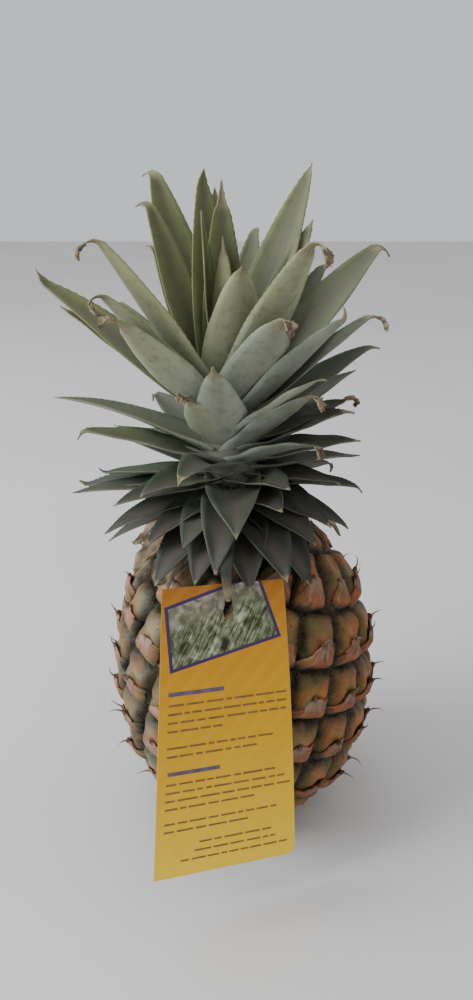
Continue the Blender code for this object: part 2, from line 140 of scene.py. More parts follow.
def normals_at(points):
    """Outward normals of the mean surface that runs through each point."""
    out = points - FRUIT_CENTRE
    across = np.maximum(np.hypot(out[..., 0], out[..., 1]), 1e-9)
    power = FRUIT_ROUNDNESS - 1
    pull = (across / FRUIT_RADIUS) ** power / FRUIT_RADIUS / across
    push = (np.abs(out[..., 2]) / FRUIT_HALF_HEIGHT) ** power / FRUIT_HALF_HEIGHT
    normal = np.stack([out[..., 0] * pull, out[..., 1] * pull, np.copysign(push, out[..., 2])], -1)
    return normal / np.linalg.norm(normal, axis=-1, keepdims=True)


def on_fruit(points):
    """The mean surface's points in line with these points and the fruit's centre."""
    return FRUIT_CENTRE + (points - FRUIT_CENTRE) / level_of(points)[..., None]


def eye_centres():
    """Every eye's middle: one even turn on from the last, and each with an equal share of the skin."""
    low = next(h for h in np.arange(0, 60, 0.02) * MM if profile_radius(h) > STALK_END_RADIUS)
    heights = np.linspace(low, CROWN_SEAT_HEIGHT - 0.6 * MM, 1500)
    radii = np.array([profile_radius(h) for h in heights])
    steps = np.hypot(np.diff(radii), np.diff(heights))
    areas = np.concatenate([[0], np.cumsum(steps * (radii[1:] + radii[:-1]) / 2)])
    order = np.arange(EYE_COUNT)
    height = np.interp((order + 0.5) / EYE_COUNT * areas[-1], areas, heights)
    turn = FIRST_EYE_AZIMUTH + order * EYE_TURN
    radius = np.array([profile_radius(h) for h in height])
    return np.stack([radius * np.cos(turn), radius * np.sin(turn), height], -1)


centres = eye_centres()
eye_normals = normals_at(centres)
eye_east = np.cross((0, 0, 1), eye_normals)
eye_east /= np.linalg.norm(eye_east, axis=1, keepdims=True)
eye_north = np.cross(eye_normals, eye_east)
eye_tones = np.random.default_rng(3).random(EYE_COUNT)


def relief_at(points):
    """How far the rind stands off its mean surface at each point, which eye that is, and how far the
    nearest groove is."""
    squares = (points**2).sum(1)[:, None] + (centres**2).sum(1)[None] - 2 * points @ centres.T
    nearest = squares.argmin(1)
    spans = np.linalg.norm(centres[:, None] - centres[None], axis=2)
    np.fill_diagonal(spans, 1)
    ways = (squares - squares[np.arange(len(points)), nearest][:, None]) / (2 * spans[nearest])
    ways[np.arange(len(points)), nearest] = 1
    softness = 0.7 * MM
    way = -softness * np.log(np.exp(-np.minimum(ways, 0.05) / softness).sum(1))
    way = np.maximum(way, 0)
    lift = -GROOVE_DEPTH + DOME_RISE * (1 - np.exp(-((way / SHOULDER_WIDTH) ** 1.25)))
    under_crown = centres[nearest, 2] > 134 * MM
    return np.where(under_crown, np.minimum(lift, lift * UNDER_CROWN_FULLNESS), lift), nearest, way


def set_points(mesh, points):
    mesh.vertices.foreach_set("co", np.ascontiguousarray(points, np.float32).ravel())
    mesh.update()


def get_points(mesh):
    flat = np.empty(len(mesh.vertices) * 3, np.float32)
    mesh.vertices.foreach_get("co", flat)
    return flat.reshape(-1, 3).astype(np.float64)


def set_attribute(mesh, name, values):
    """A number for each point of a mesh, which its material reads by name."""
    layer = mesh.attributes.get(name) or mesh.attributes.new(name, "FLOAT", "POINT")
    layer.data.foreach_set("value", np.ascontiguousarray(values, np.float32))


bpy.ops.object.select_all(action="DESELECT")
bpy.ops.mesh.primitive_uv_sphere_add(segments=RIND_SEGMENTS, ring_count=RIND_RINGS, radius=50 * MM)
rind = bpy.context.active_object
rind.name = "rind"
skin = on_fruit(get_points(rind.data) + FRUIT_CENTRE)
lift, in_eye, groove_way = relief_at(skin)
off = skin - centres[in_eye]
across = (off * eye_east[in_eye]).sum(1)
up = (off * eye_north[in_eye]).sum(1)
below_bract = np.clip((1 * MM - up - 0.75 * np.abs(across)) / (2 * MM), 0, 1)
pit = np.exp(-(across**2 + (up - 0.5 * MM) ** 2) / PIT_RADIUS**2)
lift = lift - below_bract * 0.7 * MM - pit * 0.5 * MM
chance = np.random.default_rng(8)
for _ in range(SWELL_COUNT):
    swell_way = chance.normal(0, 1, 3)
    swell_way *= chance.uniform(450, 1100) / np.linalg.norm(swell_way)
    swell = np.sin(skin @ swell_way + chance.uniform(0, 6)) * SWELL_HEIGHT
    lift += swell * np.minimum(1, groove_way / (3 * MM))
skin += normals_at(skin) * lift[:, None]
skin[:, 2] = np.clip(skin[:, 2], 0, CROWN_SEAT_HEIGHT)
set_points(rind.data, skin)
set_attribute(rind.data, "groove_way", groove_way / MM)
set_attribute(rind.data, "eye_tone", eye_tones[in_eye])
bpy.ops.object.shade_smooth()

# Pineapple rind: thick, waxy plant skin. Each eye is tanned orange in the middle and green round its rim,
# with small dark pits, and some eyes are greener than others. The grooves are their own dark olive and also
# painted near-black shade, and the eyes on the left are painted greyer green for the window light that falls
# on that side. Its patches are 8 and 12 mm across, its specks lie 4 mm apart, and its dusty bloom has a grain
# of 1 mm.
rind_material, tree, shader = new_material("ripe_rind")
groove_distance = add_node(tree, "Attribute", output="Fac", attribute_name="groove_way")
tone = add_node(tree, "Attribute", output="Fac", attribute_name="eye_tone")
place = add_node(tree, "TexCoord", output="Object")
patches = add_node(tree, "TexNoise", {"Vector": place, "Scale": 130, "Detail": 4})
fine = add_node(tree, "TexNoise", {"Vector": place, "Scale": 900, "Detail": 3})
unripe = add_node(tree, "TexNoise", {"Vector": place, "Scale": 85, "Detail": 4, "Distortion": 0.6})
uneven = add_node(tree, "Math", (patches, 7, groove_distance), operation="MULTIPLY_ADD")
# From the groove to the eye's middle: each ramp below starts near-black at the groove, which is painted shade
# over the rim's own dark olive
groove_shade_to_tan = add_node(tree, "MapRange", (uneven, 3.3, 12))
ripe_stops = (0, "#0e0a06"), (0.1, "#2d1e0f"), (0.28, "#5b3e1c"), (0.6, "#8c5022"), (1, "#a4622b")
ripe_colour = add_node(tree, "ValToRGB", (groove_shade_to_tan,), ripe_stops)
olive_stops = (0, "#0e0b06"), (0.1, "#26200f"), (0.35, "#47431b"), (1, "#70622e")
olive_colour = add_node(tree, "ValToRGB", (groove_shade_to_tan,), olive_stops)
unripe_share = add_node(tree, "MapRange", (unripe, 0.43, 0.58, 0, 0.8))
mottled = add_node(tree, "Mix", {0: unripe_share, 6: ripe_colour, 7: olive_colour}, **COLOUR_MIX)
green_stops = (0, "#0f0e0a"), (0.1, "#2b2a1e"), (0.28, "#51533f"), (0.65, "#7d765c"), (1, "#9c8d6b")
green_colour = add_node(tree, "ValToRGB", (groove_shade_to_tan,), green_stops)
# Painted light: eyes on the left, where the window light falls, are painted greyer green; the eye tone adds
# some greener eyes of their own
sideways = add_node(tree, "SeparateXYZ", (place,), output="X")
window_lit_share = add_node(tree, "MapRange", (sideways, 0.03, -0.045))
green_patches = add_node(tree, "MapRange", (unripe, 0.42, 0.57, 0.3, 0.95))
lit_side_green = add_node(tree, "Math", (window_lit_share, green_patches), operation="MULTIPLY")
greenness = add_node(tree, "Math", (tone, 0.2, lit_side_green), operation="MULTIPLY_ADD", use_clamp=True)
eye_colour = add_node(tree, "Mix", {0: greenness, 6: mottled, 7: green_colour}, **COLOUR_MIX)
speck_inputs = {"Vector": place, "Scale": 240, "Randomness": 1}
speck_distance = add_node(tree, "TexVoronoi", speck_inputs, output="Distance")
speck = add_node(tree, "MapRange", (speck_distance, 0.08, 0.15, 0.7, 0))
speckled = add_node(tree, "Mix", {0: speck, 6: eye_colour, 7: linear("#3a2416")}, **COLOUR_MIX)
dust = add_node(tree, "MapRange", (fine, 0.42, 0.75, 0, 0.16))
dusted = add_node(tree, "Mix", {0: dust, 6: speckled, 7: linear("#958774")}, **COLOUR_MIX)
gloss = add_node(tree, "MapRange", (patches, 0, 1, 0.36, 0.62))
skin_height = add_node(tree, "Math", (fine, 0.35, patches), operation="MULTIPLY_ADD")
relief = add_node(tree, "Bump", {"Height": skin_height, "Strength": 0.7, "Distance": 0.0016})
set_inputs(shader, {"Base Color": dusted, "Roughness": gloss, "Specular IOR Level": 0.22, "Normal": relief})
rind.data.materials.append(rind_material)
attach(rind, "root")
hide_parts("fruit")


# Bracts: the papery leaf that half covers each eye, broad at the eye's lower rim and narrow at its middle.
# They are dry skin, wrinkled lengthways and torn at the edge, and grow out of the groove below each eye.
BRACT_ACROSS = 22
BRACT_ALONG = 14
BRACT_THICKNESS = 0.4 * MM
BRACT_HALF_SPREAD = math.radians(72)
BRACT_NECK = 1.5 * MM
BRACT_TOP = 1.2 * MM
BRACT_STAND = 0.55 * MM
WRINKLE_HEIGHT = 0.42 * MM
WIDEST_REACH = 14 * MM
NEIGHBOUR_SPAN = 48 * MM
PRESSED_ABOVE = 122 * MM
PRESSED_BELOW = 16 * MM
CARD_BACK_REACH = (-46 * MM, 30 * MM)


def rim_reach(index, turns):
    """How far an eye reaches from its middle to its groove, in each direction across its face."""
    others = np.delete(centres, index, 0) - centres[index]
    others = others[np.linalg.norm(others, axis=1) < NEIGHBOUR_SPAN]
    flat = np.stack([others @ eye_east[index], others @ eye_north[index]], -1)
    lengths = np.linalg.norm(flat, axis=1)
    ways = np.stack([np.cos(turns), np.sin(turns)], -1)
    leans = ways @ (flat / lengths[:, None]).T
    reach = np.where(leans > 0.05, lengths[None] / 2 / np.maximum(leans, 0.05), 1)
    return np.minimum(reach.min(1), WIDEST_REACH)


def is_pressed(centre):
    """Bracts lie flat under the crown, at the fruit's foot and behind the card."""
    left, right = CARD_BACK_REACH
    behind_card = centre[1] < -34 * MM and left < centre[0] < right
    return centre[2] > PRESSED_ABOVE or centre[2] < PRESSED_BELOW or behind_card


def new_grid(columns, rows):
    """A flat grid to be shaped, with each point's place across it, -1 to 1, and up it, 0 to 1."""
    bpy.ops.object.select_all(action="DESELECT")
    bpy.ops.mesh.primitive_grid_add(x_subdivisions=columns, y_subdivisions=rows, size=2)
    grid = bpy.context.active_object
    points = get_points(grid.data)
    return grid, points[:, 0], (points[:, 1] + 1) / 2


def shaped_copy(pattern, name, points, **numbers):
    """A copy of a pattern piece with a mesh of its own, its points moved, and numbers for its material."""
    made = pattern.copy()
    made.data = pattern.data.copy()
    made.name = name
    bpy.context.scene.collection.objects.link(made)
    set_points(made.data, points)
    for key, values in numbers.items():
        set_attribute(made.data, key, np.broadcast_to(values, len(points)))
    return made


def joined(pieces, name):
    """One piece out of several."""
    bpy.ops.object.select_all(action="DESELECT")
    for piece in pieces:
        piece.select_set(True)
    bpy.context.view_layer.objects.active = pieces[0]
    bpy.ops.object.join()
    pieces[0].name = name
    return pieces[0]


def applied(piece, kind, **settings):
    """Gives a piece a modifier and applies it."""
    modifier = piece.modifiers.new(kind.lower(), kind)
    for key, value in settings.items():
        setattr(modifier, key, value)
    bpy.context.view_layer.objects.active = piece
    bpy.ops.object.modifier_apply(modifier=modifier.name)


bract_blank, side_share, along = new_grid(BRACT_ACROSS, BRACT_ALONG)
chance = np.random.default_rng(21)
bracts = []
bract_tops = []
for index in range(EYE_COUNT):
    pressed = is_pressed(centres[index])
    turns = -math.pi / 2 + side_share * BRACT_HALF_SPREAD
    reach = rim_reach(index, turns) * 0.98
    tilt = chance.normal(0, 0.8 * MM)
    ragged = 1 + 0.17 * np.sin(along * chance.uniform(9, 16) + chance.uniform(0, 6))
    ragged += chance.normal(0, 0.06, len(along)) * (np.abs(side_share) > 0.95)
    fall = (1 - along) ** chance.uniform(1.5, 2.1)
    neck = BRACT_NECK * chance.uniform(0.7, 1.25)
    torn = 1 - 0.38 * np.abs(np.sin(side_share * chance.uniform(4, 9) + chance.uniform(0, 6)))
    rise = along * np.where(along > 0.85, torn, 1)
    flat_x = (reach * np.cos(turns) * fall + side_share * neck * rise) * ragged + tilt * rise
    flat_y = reach * np.sin(turns) * (1 - along) + BRACT_TOP * rise
    spot = centres[index] + flat_x[:, None] * eye_east[index] + flat_y[:, None] * eye_north[index]
    spot = on_fruit(spot)
    lift = relief_at(spot)[0]
    middle = 1 - side_share**2
    wrinkles = np.sin(side_share * 11 + np.sin(along * 4) + chance.uniform(0, 6))
    wrinkles += 0.6 * np.sin(side_share * 19 + chance.uniform(0, 6))
    stand = BRACT_STAND + middle * along * 0.9 * MM + along**3 * chance.uniform(0.4, 1.4) * MM
    stand += wrinkles * WRINKLE_HEIGHT * np.minimum(1, along * 2.5) + np.abs(side_share) ** 8 * 0.5 * MM
    if pressed:
        stand = 0.5 * MM + middle * along * 0.5 * MM + wrinkles * 0.1 * MM
    spot = spot + normals_at(spot) * (lift + stand)[:, None]
    spot[:, 2] = np.clip(spot[:, 2], 0.9 * MM, CROWN_SEAT_HEIGHT - 0.2 * MM)
    numbers = {"along": along, "across": side_share, "eye_tone": eye_tones[index]}
    bracts.append(shaped_copy(bract_blank, f"bract_{index}", spot, **numbers))
    bract_tops.append(spot[(along > 0.93) & (np.abs(side_share) < 0.3)].mean(0))
bpy.data.objects.remove(bract_blank)
bract_skins = joined(bracts, "bracts")
applied(bract_skins, "SOLIDIFY", thickness=BRACT_THICKNESS, offset=-1)
bpy.ops.object.shade_smooth()

# Dried bract: fleshy and green at its foot, then orange, pink and papery towards its torn top. Its foot, down
# in the groove, is painted near-black shade as well. Bracts on the left are painted paler and cooler for the
# window light there, and those on the right darker and warmer for painted shade.
# The streaks run lengthways, about 1 mm apart, and its patches are 6 mm across.
bract_material, tree, shader = new_material("papery_bract")
along_bract, across_bract, tone = (
    add_node(tree, "Attribute", output="Fac", attribute_name=number)
    for number in ("along", "across", "eye_tone")
)
place = add_node(tree, "TexCoord", output="Object")
lengthways = add_node(tree, "CombineXYZ", (across_bract, along_bract, tone))
streak_place = add_node(tree, "VectorMath", (lengthways, (7, 0.8, 40)), operation="MULTIPLY")
streak_inputs = {"Vector": streak_place, "Scale": 1.6, "Detail": 5, "Roughness": 0.65}
streaks = add_node(tree, "TexNoise", streak_inputs)
clouds = add_node(tree, "TexNoise", {"Vector": place, "Scale": 160, "Detail": 3})
reach_up = add_node(tree, "Math", (clouds, 0.5, along_bract), operation="MULTIPLY_ADD")
shifted = add_node(tree, "MapRange", (reach_up, 0.22, 1.25))
# Each ramp starts near-black at the bract's foot: painted shade in the groove, over the bract's own dark
# green
stop_places = (0, 0.1, 0.24, 0.46, 0.78, 1)
shaded_side_colours = ("#17190f", "#4a3819", "#935022", "#794e34", "#907361", "#573b31")
lit_side_colours = ("#1b231d", "#414b3c", "#8f7047", "#a77a63", "#c0a08f", "#75513f")
shaded_side_bract = add_node(tree, "ValToRGB", (shifted,), list(zip(stop_places, shaded_side_colours)))
lit_side_bract = add_node(tree, "ValToRGB", (shifted,), list(zip(stop_places, lit_side_colours)))
# Painted light: bracts on the left are painted paler and cooler for the window light, those on the right
# darker and warmer for the shade
sideways = add_node(tree, "SeparateXYZ", (place,), output="X")
window_lit_share = add_node(tree, "MapRange", (sideways, 0.04, -0.05))
bract_colour = add_node(tree, "Mix", {0: window_lit_share, 6: shaded_side_bract, 7: lit_side_bract}, **COLOUR_MIX)
dark_streak = add_node(tree, "MapRange", (streaks, 0.52, 0.68, 0, 0.75))
streaked = add_node(tree, "Mix", {0: dark_streak, 6: bract_colour, 7: linear("#522c20")}, **COLOUR_MIX)
pale_streak = add_node(tree, "MapRange", (streaks, 0.45, 0.3, 0, 0.55))
bright = add_node(tree, "Mix", {0: pale_streak, 6: streaked, 7: linear("#bb9981")}, **COLOUR_MIX)
relief = add_node(tree, "Bump", {"Height": streaks, "Strength": 0.7, "Distance": 0.0012})
set_inputs(shader, {"Base Color": bright, "Roughness": 0.72, "Normal": relief})
bract_skins.data.materials.append(bract_material)
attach(bract_skins, "root")


# Bract points: the dry thread that each bract ends in, up to 10 mm long and curled as it dried.
# Under the crown, at the foot and behind the card they are pressed short.
POINT_STEPS = 9
POINT_THICKNESS = 0.42 * MM
POINT_LENGTHS = (6 * MM, 10 * MM)
PRESSED_LENGTH = 1.6 * MM
POINT_ROOT = 0.9 * MM
chance = random.Random(7)
bend_chance = random.Random(12)
threads = bpy.data.curves.new("bract_points", "CURVE")
threads.dimensions = "3D"
threads.bevel_depth = POINT_THICKNESS
threads.bevel_resolution = 1
threads.use_fill_caps = True
for index in range(EYE_COUNT):
    sideways = chance.uniform(-0.3, 0.3)
    length = chance.uniform(*POINT_LENGTHS)
    length *= bend_chance.choice((1, 0.9, 0.75, 0.45))
    if is_pressed(centres[index]):
        length = PRESSED_LENGTH
    normal, north, east = (Vector(v[index]) for v in (eye_normals, eye_north, eye_east))
    heading = (normal * 0.8 + north * 0.6 + east * sideways).normalized()
    turn_axis = (east + normal * bend_chance.uniform(-0.6, 0.6)).normalized()
    curl = math.radians(bend_chance.choice((-20, -12, -5, 4, 11, 19))) / (length / (8 * MM))
    curl = max(-0.3, min(0.3, curl))
    thread = threads.splines.new("POLY")
    thread.points.add(POINT_STEPS)
    spot = Vector(bract_tops[index]) - heading * POINT_ROOT
    for step, point in enumerate(thread.points):
        share = step / POINT_STEPS
        point.co = (*spot, 1)
        point.radius = max(0.16, (1 - share) ** 0.9 * 1.2)
        spot = spot + heading * (length + POINT_ROOT) / POINT_STEPS
        heading = Matrix.Rotation(curl * (0.3 + share), 3, turn_axis) @ heading
points_piece = bpy.data.objects.new("bract_points", threads)
bpy.context.scene.collection.objects.link(points_piece)
bpy.ops.object.select_all(action="DESELECT")
points_piece.select_set(True)
bpy.context.view_layer.objects.active = points_piece
bpy.ops.object.convert(target="MESH")
points_piece = bpy.context.active_object
bpy.ops.object.shade_smooth()
threads_at = get_points(points_piece.data)
threads_at[:, 2] = np.clip(threads_at[:, 2], 0.6 * MM, None)
set_points(points_piece.data, threads_at)


def cloudy_material(name, scale, detail, roughness, *stops):
    """A material whose colour drifts between its stops, in clouds of a scale."""
    material, tree, shader = new_material(name)
    place = add_node(tree, "TexCoord", output="Object")
    clouds = add_node(tree, "TexNoise", {"Vector": place, "Scale": scale, "Detail": detail})
    colour = add_node(tree, "ValToRGB", (clouds,), stops)
    set_inputs(shader, {"Base Color": colour, "Roughness": roughness})
    return material


# Dry plant fibre: grey brown, darker in patches of 4 mm.
thread_material = cloudy_material(
    "dry_point", 260, 3, 0.75, (0.3, "#4a382e"), (0.5, "#80695a"), (0.7, "#a89080")
)
points_piece.data.materials.append(thread_material)
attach(points_piece, "root")


# Crown stem: the short stump that the crown's leaves grow from, all but hidden by their bases.
# It sits on the fruit's seat and leans a little to the left and back.
STEM_LEAN = Vector((-9, 6.5, 0)) * MM
STEM_HEIGHTS = (148, 150, 158, 176, 192, 204, 212)
STEM_RADII = (13.5, 13.5, 12, 11.5, 9.5, 6.5, 3)
STEM_LEANS = (0.2, 0.3, 0.55, 0.75, 0.9, 1, 1.05)
STEM_SIDES = 40
STEM_BANDS = 16


def stem_at(height):
    """The stem's centre and radius at a height in millimetres."""
    lean = STEM_LEAN * float(np.interp(height, STEM_HEIGHTS, STEM_LEANS))
    radius = float(np.interp(height, STEM_HEIGHTS, STEM_RADII)) * MM
    return lean + Vector((0, 0, height * MM)), radius


bpy.ops.object.select_all(action="DESELECT")
bpy.ops.mesh.primitive_cylinder_add(vertices=STEM_SIDES, radius=1, depth=2)
stem = bpy.context.active_object
stem.name = "crown_stem"
bpy.ops.object.mode_set(mode="EDIT")
for cut in range(1, STEM_BANDS):
    bpy.ops.mesh.select_all(action="SELECT")
    bpy.ops.mesh.bisect(plane_co=(0, 0, -1 + 2 * cut / STEM_BANDS), plane_no=(0, 0, 1))
bpy.ops.object.mode_set(mode="OBJECT")
shape = get_points(stem.data)
for row, point in enumerate(shape):
    centre, radius = stem_at(STEM_HEIGHTS[0] + (point[2] + 1) / 2 * (STEM_HEIGHTS[-1] - STEM_HEIGHTS[0]))
    shape[row] = (centre.x + point[0] * radius, centre.y + point[1] * radius, centre.z)
set_points(stem.data, shape)
bpy.ops.object.shade_smooth()


# Crown leaves: stiff, channelled blades that spring from the stem in a spiral, short and flat at the foot
# of the crown and long and upright at its heart. Their tips have dried, and some are curled or snapped.
LEAF_ACROSS = 8
LEAF_ALONG = 58
LEAF_THICKNESS = 0.55 * MM
LEAF_CLEARANCE = 7.5 * MM
LEAF_ROOT_SHARE = 0.65
LINE_STEPS = 60
TIP_STARTS_AT = 0.91
TOOTH_HEIGHTS = (0.08, 0.16, 0.26)

# Azimuth, height, length, rise, droop, width and the bend of the dry tip, in degrees and millimetres
FRONT_LEAVES = (
    (92, 201, 88, 89, 0, 20, 0),
    (172, 201, 77, 87, 0, 14, 0),
    (122, 201, 94, 83, 2, 23, -40),
    (-140, 200, 68, 94, 0, 17, 0),
    (135, 200, 106, 68, 4, 25, 100),
    (52, 200, 111, 60, 2, 25, 0),
    (38, 198, 87, 60, 4, 19, 0),
    (142, 198, 83, 65, 0, 19, 20),
    (150, 196, 76, 67, 4, 21, 60),
    (-60, 197, 62, 80, 0, 28, 0),
    (-38, 197, 86, 64, 6, 26, 120),
    (24, 194, 102, 48, 8, 26, 100),
    (-157, 194, 94, 59, 4, 27, 95),
    (-152, 189, 82, 53, 6, 25, 110),
    (162, 189, 86, 37, 10, 19, -10),
    (-55, 190, 62, 60, 6, 28, 60),
    (-140, 187, 74, 50, 4, 27, 20),
    (6, 187, 78, 45, 10, 21, 60),
    (-25, 187, 74, 54, 14, 23, -90),
    (163, 186, 105, 43, 12, 25, -40),
    (16, 182, 74, 37, 12, 25, 40),
    (-40, 182, 55, 44, 8, 24, 40),
    (-100, 178, 54, 58, 4, 27, 0),
    (-126, 178, 36, 54, 0, 26, 10),
    (12, 178, 52, 28, 14, 23, -50),
    (-6, 176, 51, 31, 16, 25, 20),
    (-36, 176, 50, 50, 18, 25, 30),
    (170, 175, 76, 27, 22, 26, 0),
    (150, 172, 59, 11, 14, 21, -30),
    (-166, 171, 63, 26, 18, 24, 80),
    (0, 171, 51, 19, 16, 24, 0),
    (-38, 171, 42, 34, 22, 25, 30),
    (-115, 169, 44, 38, 60, 23, 30),
    (10, 167, 53, 9, 12, 22, 0),
    (-14, 165, 42, 9, 16, 24, 30),
    (-146, 165, 40, 16, 30, 25, 20),
    (174, 165, 54, 3, 10, 21, -60),
    (-60, 163, 38, 26, 24, 26, 0),
    (-88, 163, 52, 12, 30, 27, 30),
    (172, 162, 64, 0, 10, 21, -50),
    (2, 162, 52, 3, 16, 23, 40),
    (-155, 162, 48, 8, 24, 25, 0),
    (-32, 161, 43, -1, 26, 26, 0),
    (-178, 160, 64, 3, 10, 22, 0),
    (-48, 159, 45, 0, 30, 26, 0),
    (-66, 158, 40, 20, 20, 26, 0),
    (-10, 158, 47, -9, 20, 24, 20),
    (-116, 158, 42, 2, 30, 26, 0),
    (-166, 157, 53, -4, 24, 25, 0),
    (-136, 157, 44, -1, 30, 26, 0),
    (-98, 158, 55, 12, 58, 24, 0),
    (-70, 156, 54, -2, 34, 28, 0),
    (-54, 155, 50, -12, 32, 26, 0),
    (-106, 154, 51, -2, 36, 28, 0),
    (-84, 154, 52, -4, 34, 27, 0),
    (178, 154, 55, -14, 20, 23, 0),
    (-128, 153, 52, -6, 36, 27, 0),
)
BACK_LEAF_COUNT = 22
BACK_AZIMUTHS = (28, 152)
BACK_SHARES = (0.0, 0.3, 0.6, 0.85, 1.0)
BACK_HEIGHTS = (154, 163, 176, 189, 198)
BACK_LENGTHS = (48, 60, 74, 92, 88)
BACK_RISES = (-6, 12, 34, 58, 78)
BACK_DROOPS = (24, 18, 14, 8, 4)
BACK_WIDTHS = (22, 22, 22, 21, 19)
GOLDEN_TURN = 0.618034
LEAST_DRIED = (0.015, 0.03, 0.05)

# Leaves that keep their full width for longer, by azimuth: the two broad ones at the heart
BROAD_AZIMUTHS = (-60, -55)

# How much of a leaf has dried back from its tip, by its azimuth and height, where it is more than a trace
DRIED_SHARES = {
    (135, 200): 0.07,
    (92, 201): 0.13,
    (-140, 200): 0.12,
    (-60, 197): 0.05,
    (-38, 197): 0.13,
    (24, 194): 0.08,
    (-157, 194): 0.07,
    (-152, 189): 0.1,
    (-55, 190): 0.12,
    (-140, 187): 0.13,
    (6, 187): 0.09,
    (-25, 187): 0.1,
    (-100, 178): 0.12,
    (-126, 178): 0.14,
    (-6, 176): 0.1,
    (-36, 176): 0.12,
    (-166, 171): 0.08,
    (-115, 169): 0.1,
}


def back_leaves():
    """The leaves on the far side, which follow the same run from low and flat to tall and upright."""
    rng = random.Random(11)
    leaves = []
    turn = 0.0
    low, high = BACK_AZIMUTHS
    for index in range(BACK_LEAF_COUNT):
        turn = (turn + GOLDEN_TURN) % 1
        share = index / (BACK_LEAF_COUNT - 1)
        values = [
            float(np.interp(share, BACK_SHARES, column))
            for column in (BACK_HEIGHTS, BACK_LENGTHS, BACK_RISES, BACK_DROOPS, BACK_WIDTHS)
        ]
        height, length, rise, droop, width = values
        bend = rng.choice((0, 0, 60, -40, 100))
        length *= rng.uniform(0.92, 1.08)
        leaves.append((low + turn * (high - low), height, length, rise, droop, width, bend))
    return leaves


def keep_off_fruit(point):
    """Moves a point of a drooping leaf out until it clears the eyes below it."""
    place = np.array(point)
    surface = on_fruit(place)
    normal = normals_at(surface)
    clear = level_of(place) > 1 and (place - surface) @ normal >= LEAF_CLEARANCE
    if clear or math.hypot(place[0], place[1]) < 15 * MM:
        return place
    return surface + normal * LEAF_CLEARANCE


def leaf_line(azimuth, height, length, rise, droop, bend):
    """The middle line of a leaf, from its root in the stem to its tip, and its outward direction."""
    turn = math.radians(azimuth)
    outward = Vector((math.cos(turn), math.sin(turn), 0))
    centre, radius = stem_at(height)
    point = centre + outward * radius * LEAF_ROOT_SHARE
    line = [np.array(point)]
    for step in range(LINE_STEPS):
        share = (step + 0.5) / LINE_STEPS
        into_tip = max(0.0, share - TIP_STARTS_AT) / (1 - TIP_STARTS_AT)
        angle = math.radians(rise - droop * share**1.3 - bend * into_tip**0.7)
        step_way = outward * math.cos(angle) + Vector((0, 0, math.sin(angle)))
        point = point + step_way * (length * MM / LINE_STEPS)
        line.append(keep_off_fruit(point))
    return np.array(line), np.array(outward)


def blade_points(line, outward, half_widths, share, side_share, channel, twist=0.0, bow=0.0, wave=0.0):
    """The points of a blade along a line: share runs to its tip, side_share from edge to edge."""
    stations = np.linspace(0, 1, len(line))
    ahead = np.gradient(line, axis=0)
    ahead /= np.linalg.norm(ahead, axis=1, keepdims=True)
    side = np.cross((0, 0, 1), outward)
    inner = np.cross(ahead, side)
    inner /= np.linalg.norm(inner, axis=1, keepdims=True)

    def at(values):
        return np.stack([np.interp(share, stations, values[:, k]) for k in range(3)], -1)

    mid, up_way = at(line), at(inner)
    roll = twist * np.minimum(1, share * 2)
    side_way = side[None] * np.cos(roll)[:, None] + up_way * np.sin(roll)[:, None]
    up_way = up_way * np.cos(roll)[:, None] - side[None] * np.sin(roll)[:, None]
    half = np.interp(share, stations, half_widths)
    lifted = channel * half * side_share**2 + wave * np.sin(share * 17 + bow * 900) * side_share**4
    sideways = side_share * half + bow * share**2
    return mid + side_way * sideways[:, None] + up_way * lifted[:, None]


leaf_blank, side_share, share = new_grid(LEAF_ACROSS, LEAF_ALONG)
chance = np.random.default_rng(31)
stations = np.linspace(0, 1, LINE_STEPS + 1)
blades = []
leaf_tips = {}
for index, leaf in enumerate(list(FRONT_LEAVES) + back_leaves()):
    azimuth, height, length, rise, droop, width, bend = leaf
    line, outward = leaf_line(azimuth, height, length, rise, droop, bend)
    straight = (0.86 + 1.3 * stations) * (1 - stations)
    full = np.minimum(1.08, (0.9 + 1.0 * stations) * (1 - stations) ** 0.75)
    tall = min(1.0, max(0.0, (height - 178) / 8)) * (1.0 if azimuth in BROAD_AZIMUTHS else 0.45)
    taper = straight * (1 - tall) + full * 1.1 * tall
    dried = DRIED_SHARES.get((azimuth, height), chance.choice(LEAST_DRIED))
    shrink = np.clip((stations - 1 + dried) / 0.04, 0, 1) * 0.35
    half_widths = width * MM / 2 * taper * (1 - shrink)
    teeth = (np.round(share * LEAF_ALONG) % 2) * (share < 0.96) * (np.abs(side_share) > 0.99)
    teeth = teeth * chance.choice(TOOTH_HEIGHTS) * MM
    teeth /= np.maximum(np.interp(share, stations, half_widths), MM)
    side_turn = 0.4 * min(1.0, max(0.0, (rise - 30) / 20))
    side_turn *= min(1.0, max(-1.0, -5 * math.sin(math.radians(azimuth))))
    channel = 0.3 + 0.3 * np.exp(-((share / 0.2) ** 2)) + 0.4 * np.clip((share - 1 + dried) / 0.06, 0, 1)
    points = blade_points(
        line,
        outward,
        half_widths,
        share,
        side_share * (1 + teeth),
        channel,
        twist=chance.normal(0, 0.1) - side_turn * math.cos(math.radians(azimuth)),
        bow=chance.normal(0, 1.2) * MM,
        wave=chance.uniform(0, 0.5) * MM,
    )
    before_tip = points[np.abs(share - 0.95) < 0.01].mean(0)
    leaf_tips[azimuth, height] = (before_tip, points[share > 0.99].mean(0), outward)
    numbers = {
        "along": share,
        "across": side_share,
        "leaf_tone": chance.random(),
        # Height in the crown with a random spread; the cosine term paints the right side darker and the left
        # lighter for the window light, and low leaves get the dark, painted-shade end of the ramp
        "height_and_shade": (height - 152) / 49 + chance.uniform(-0.13, 0.13) - 0.16 * math.cos(math.radians(azimuth)),
        "dried": dried,
    }
    blades.append(shaped_copy(leaf_blank, f"leaf_{index}", points, **numbers))
bpy.data.objects.remove(leaf_blank)
leaves = joined(blades, "crown_leaves")
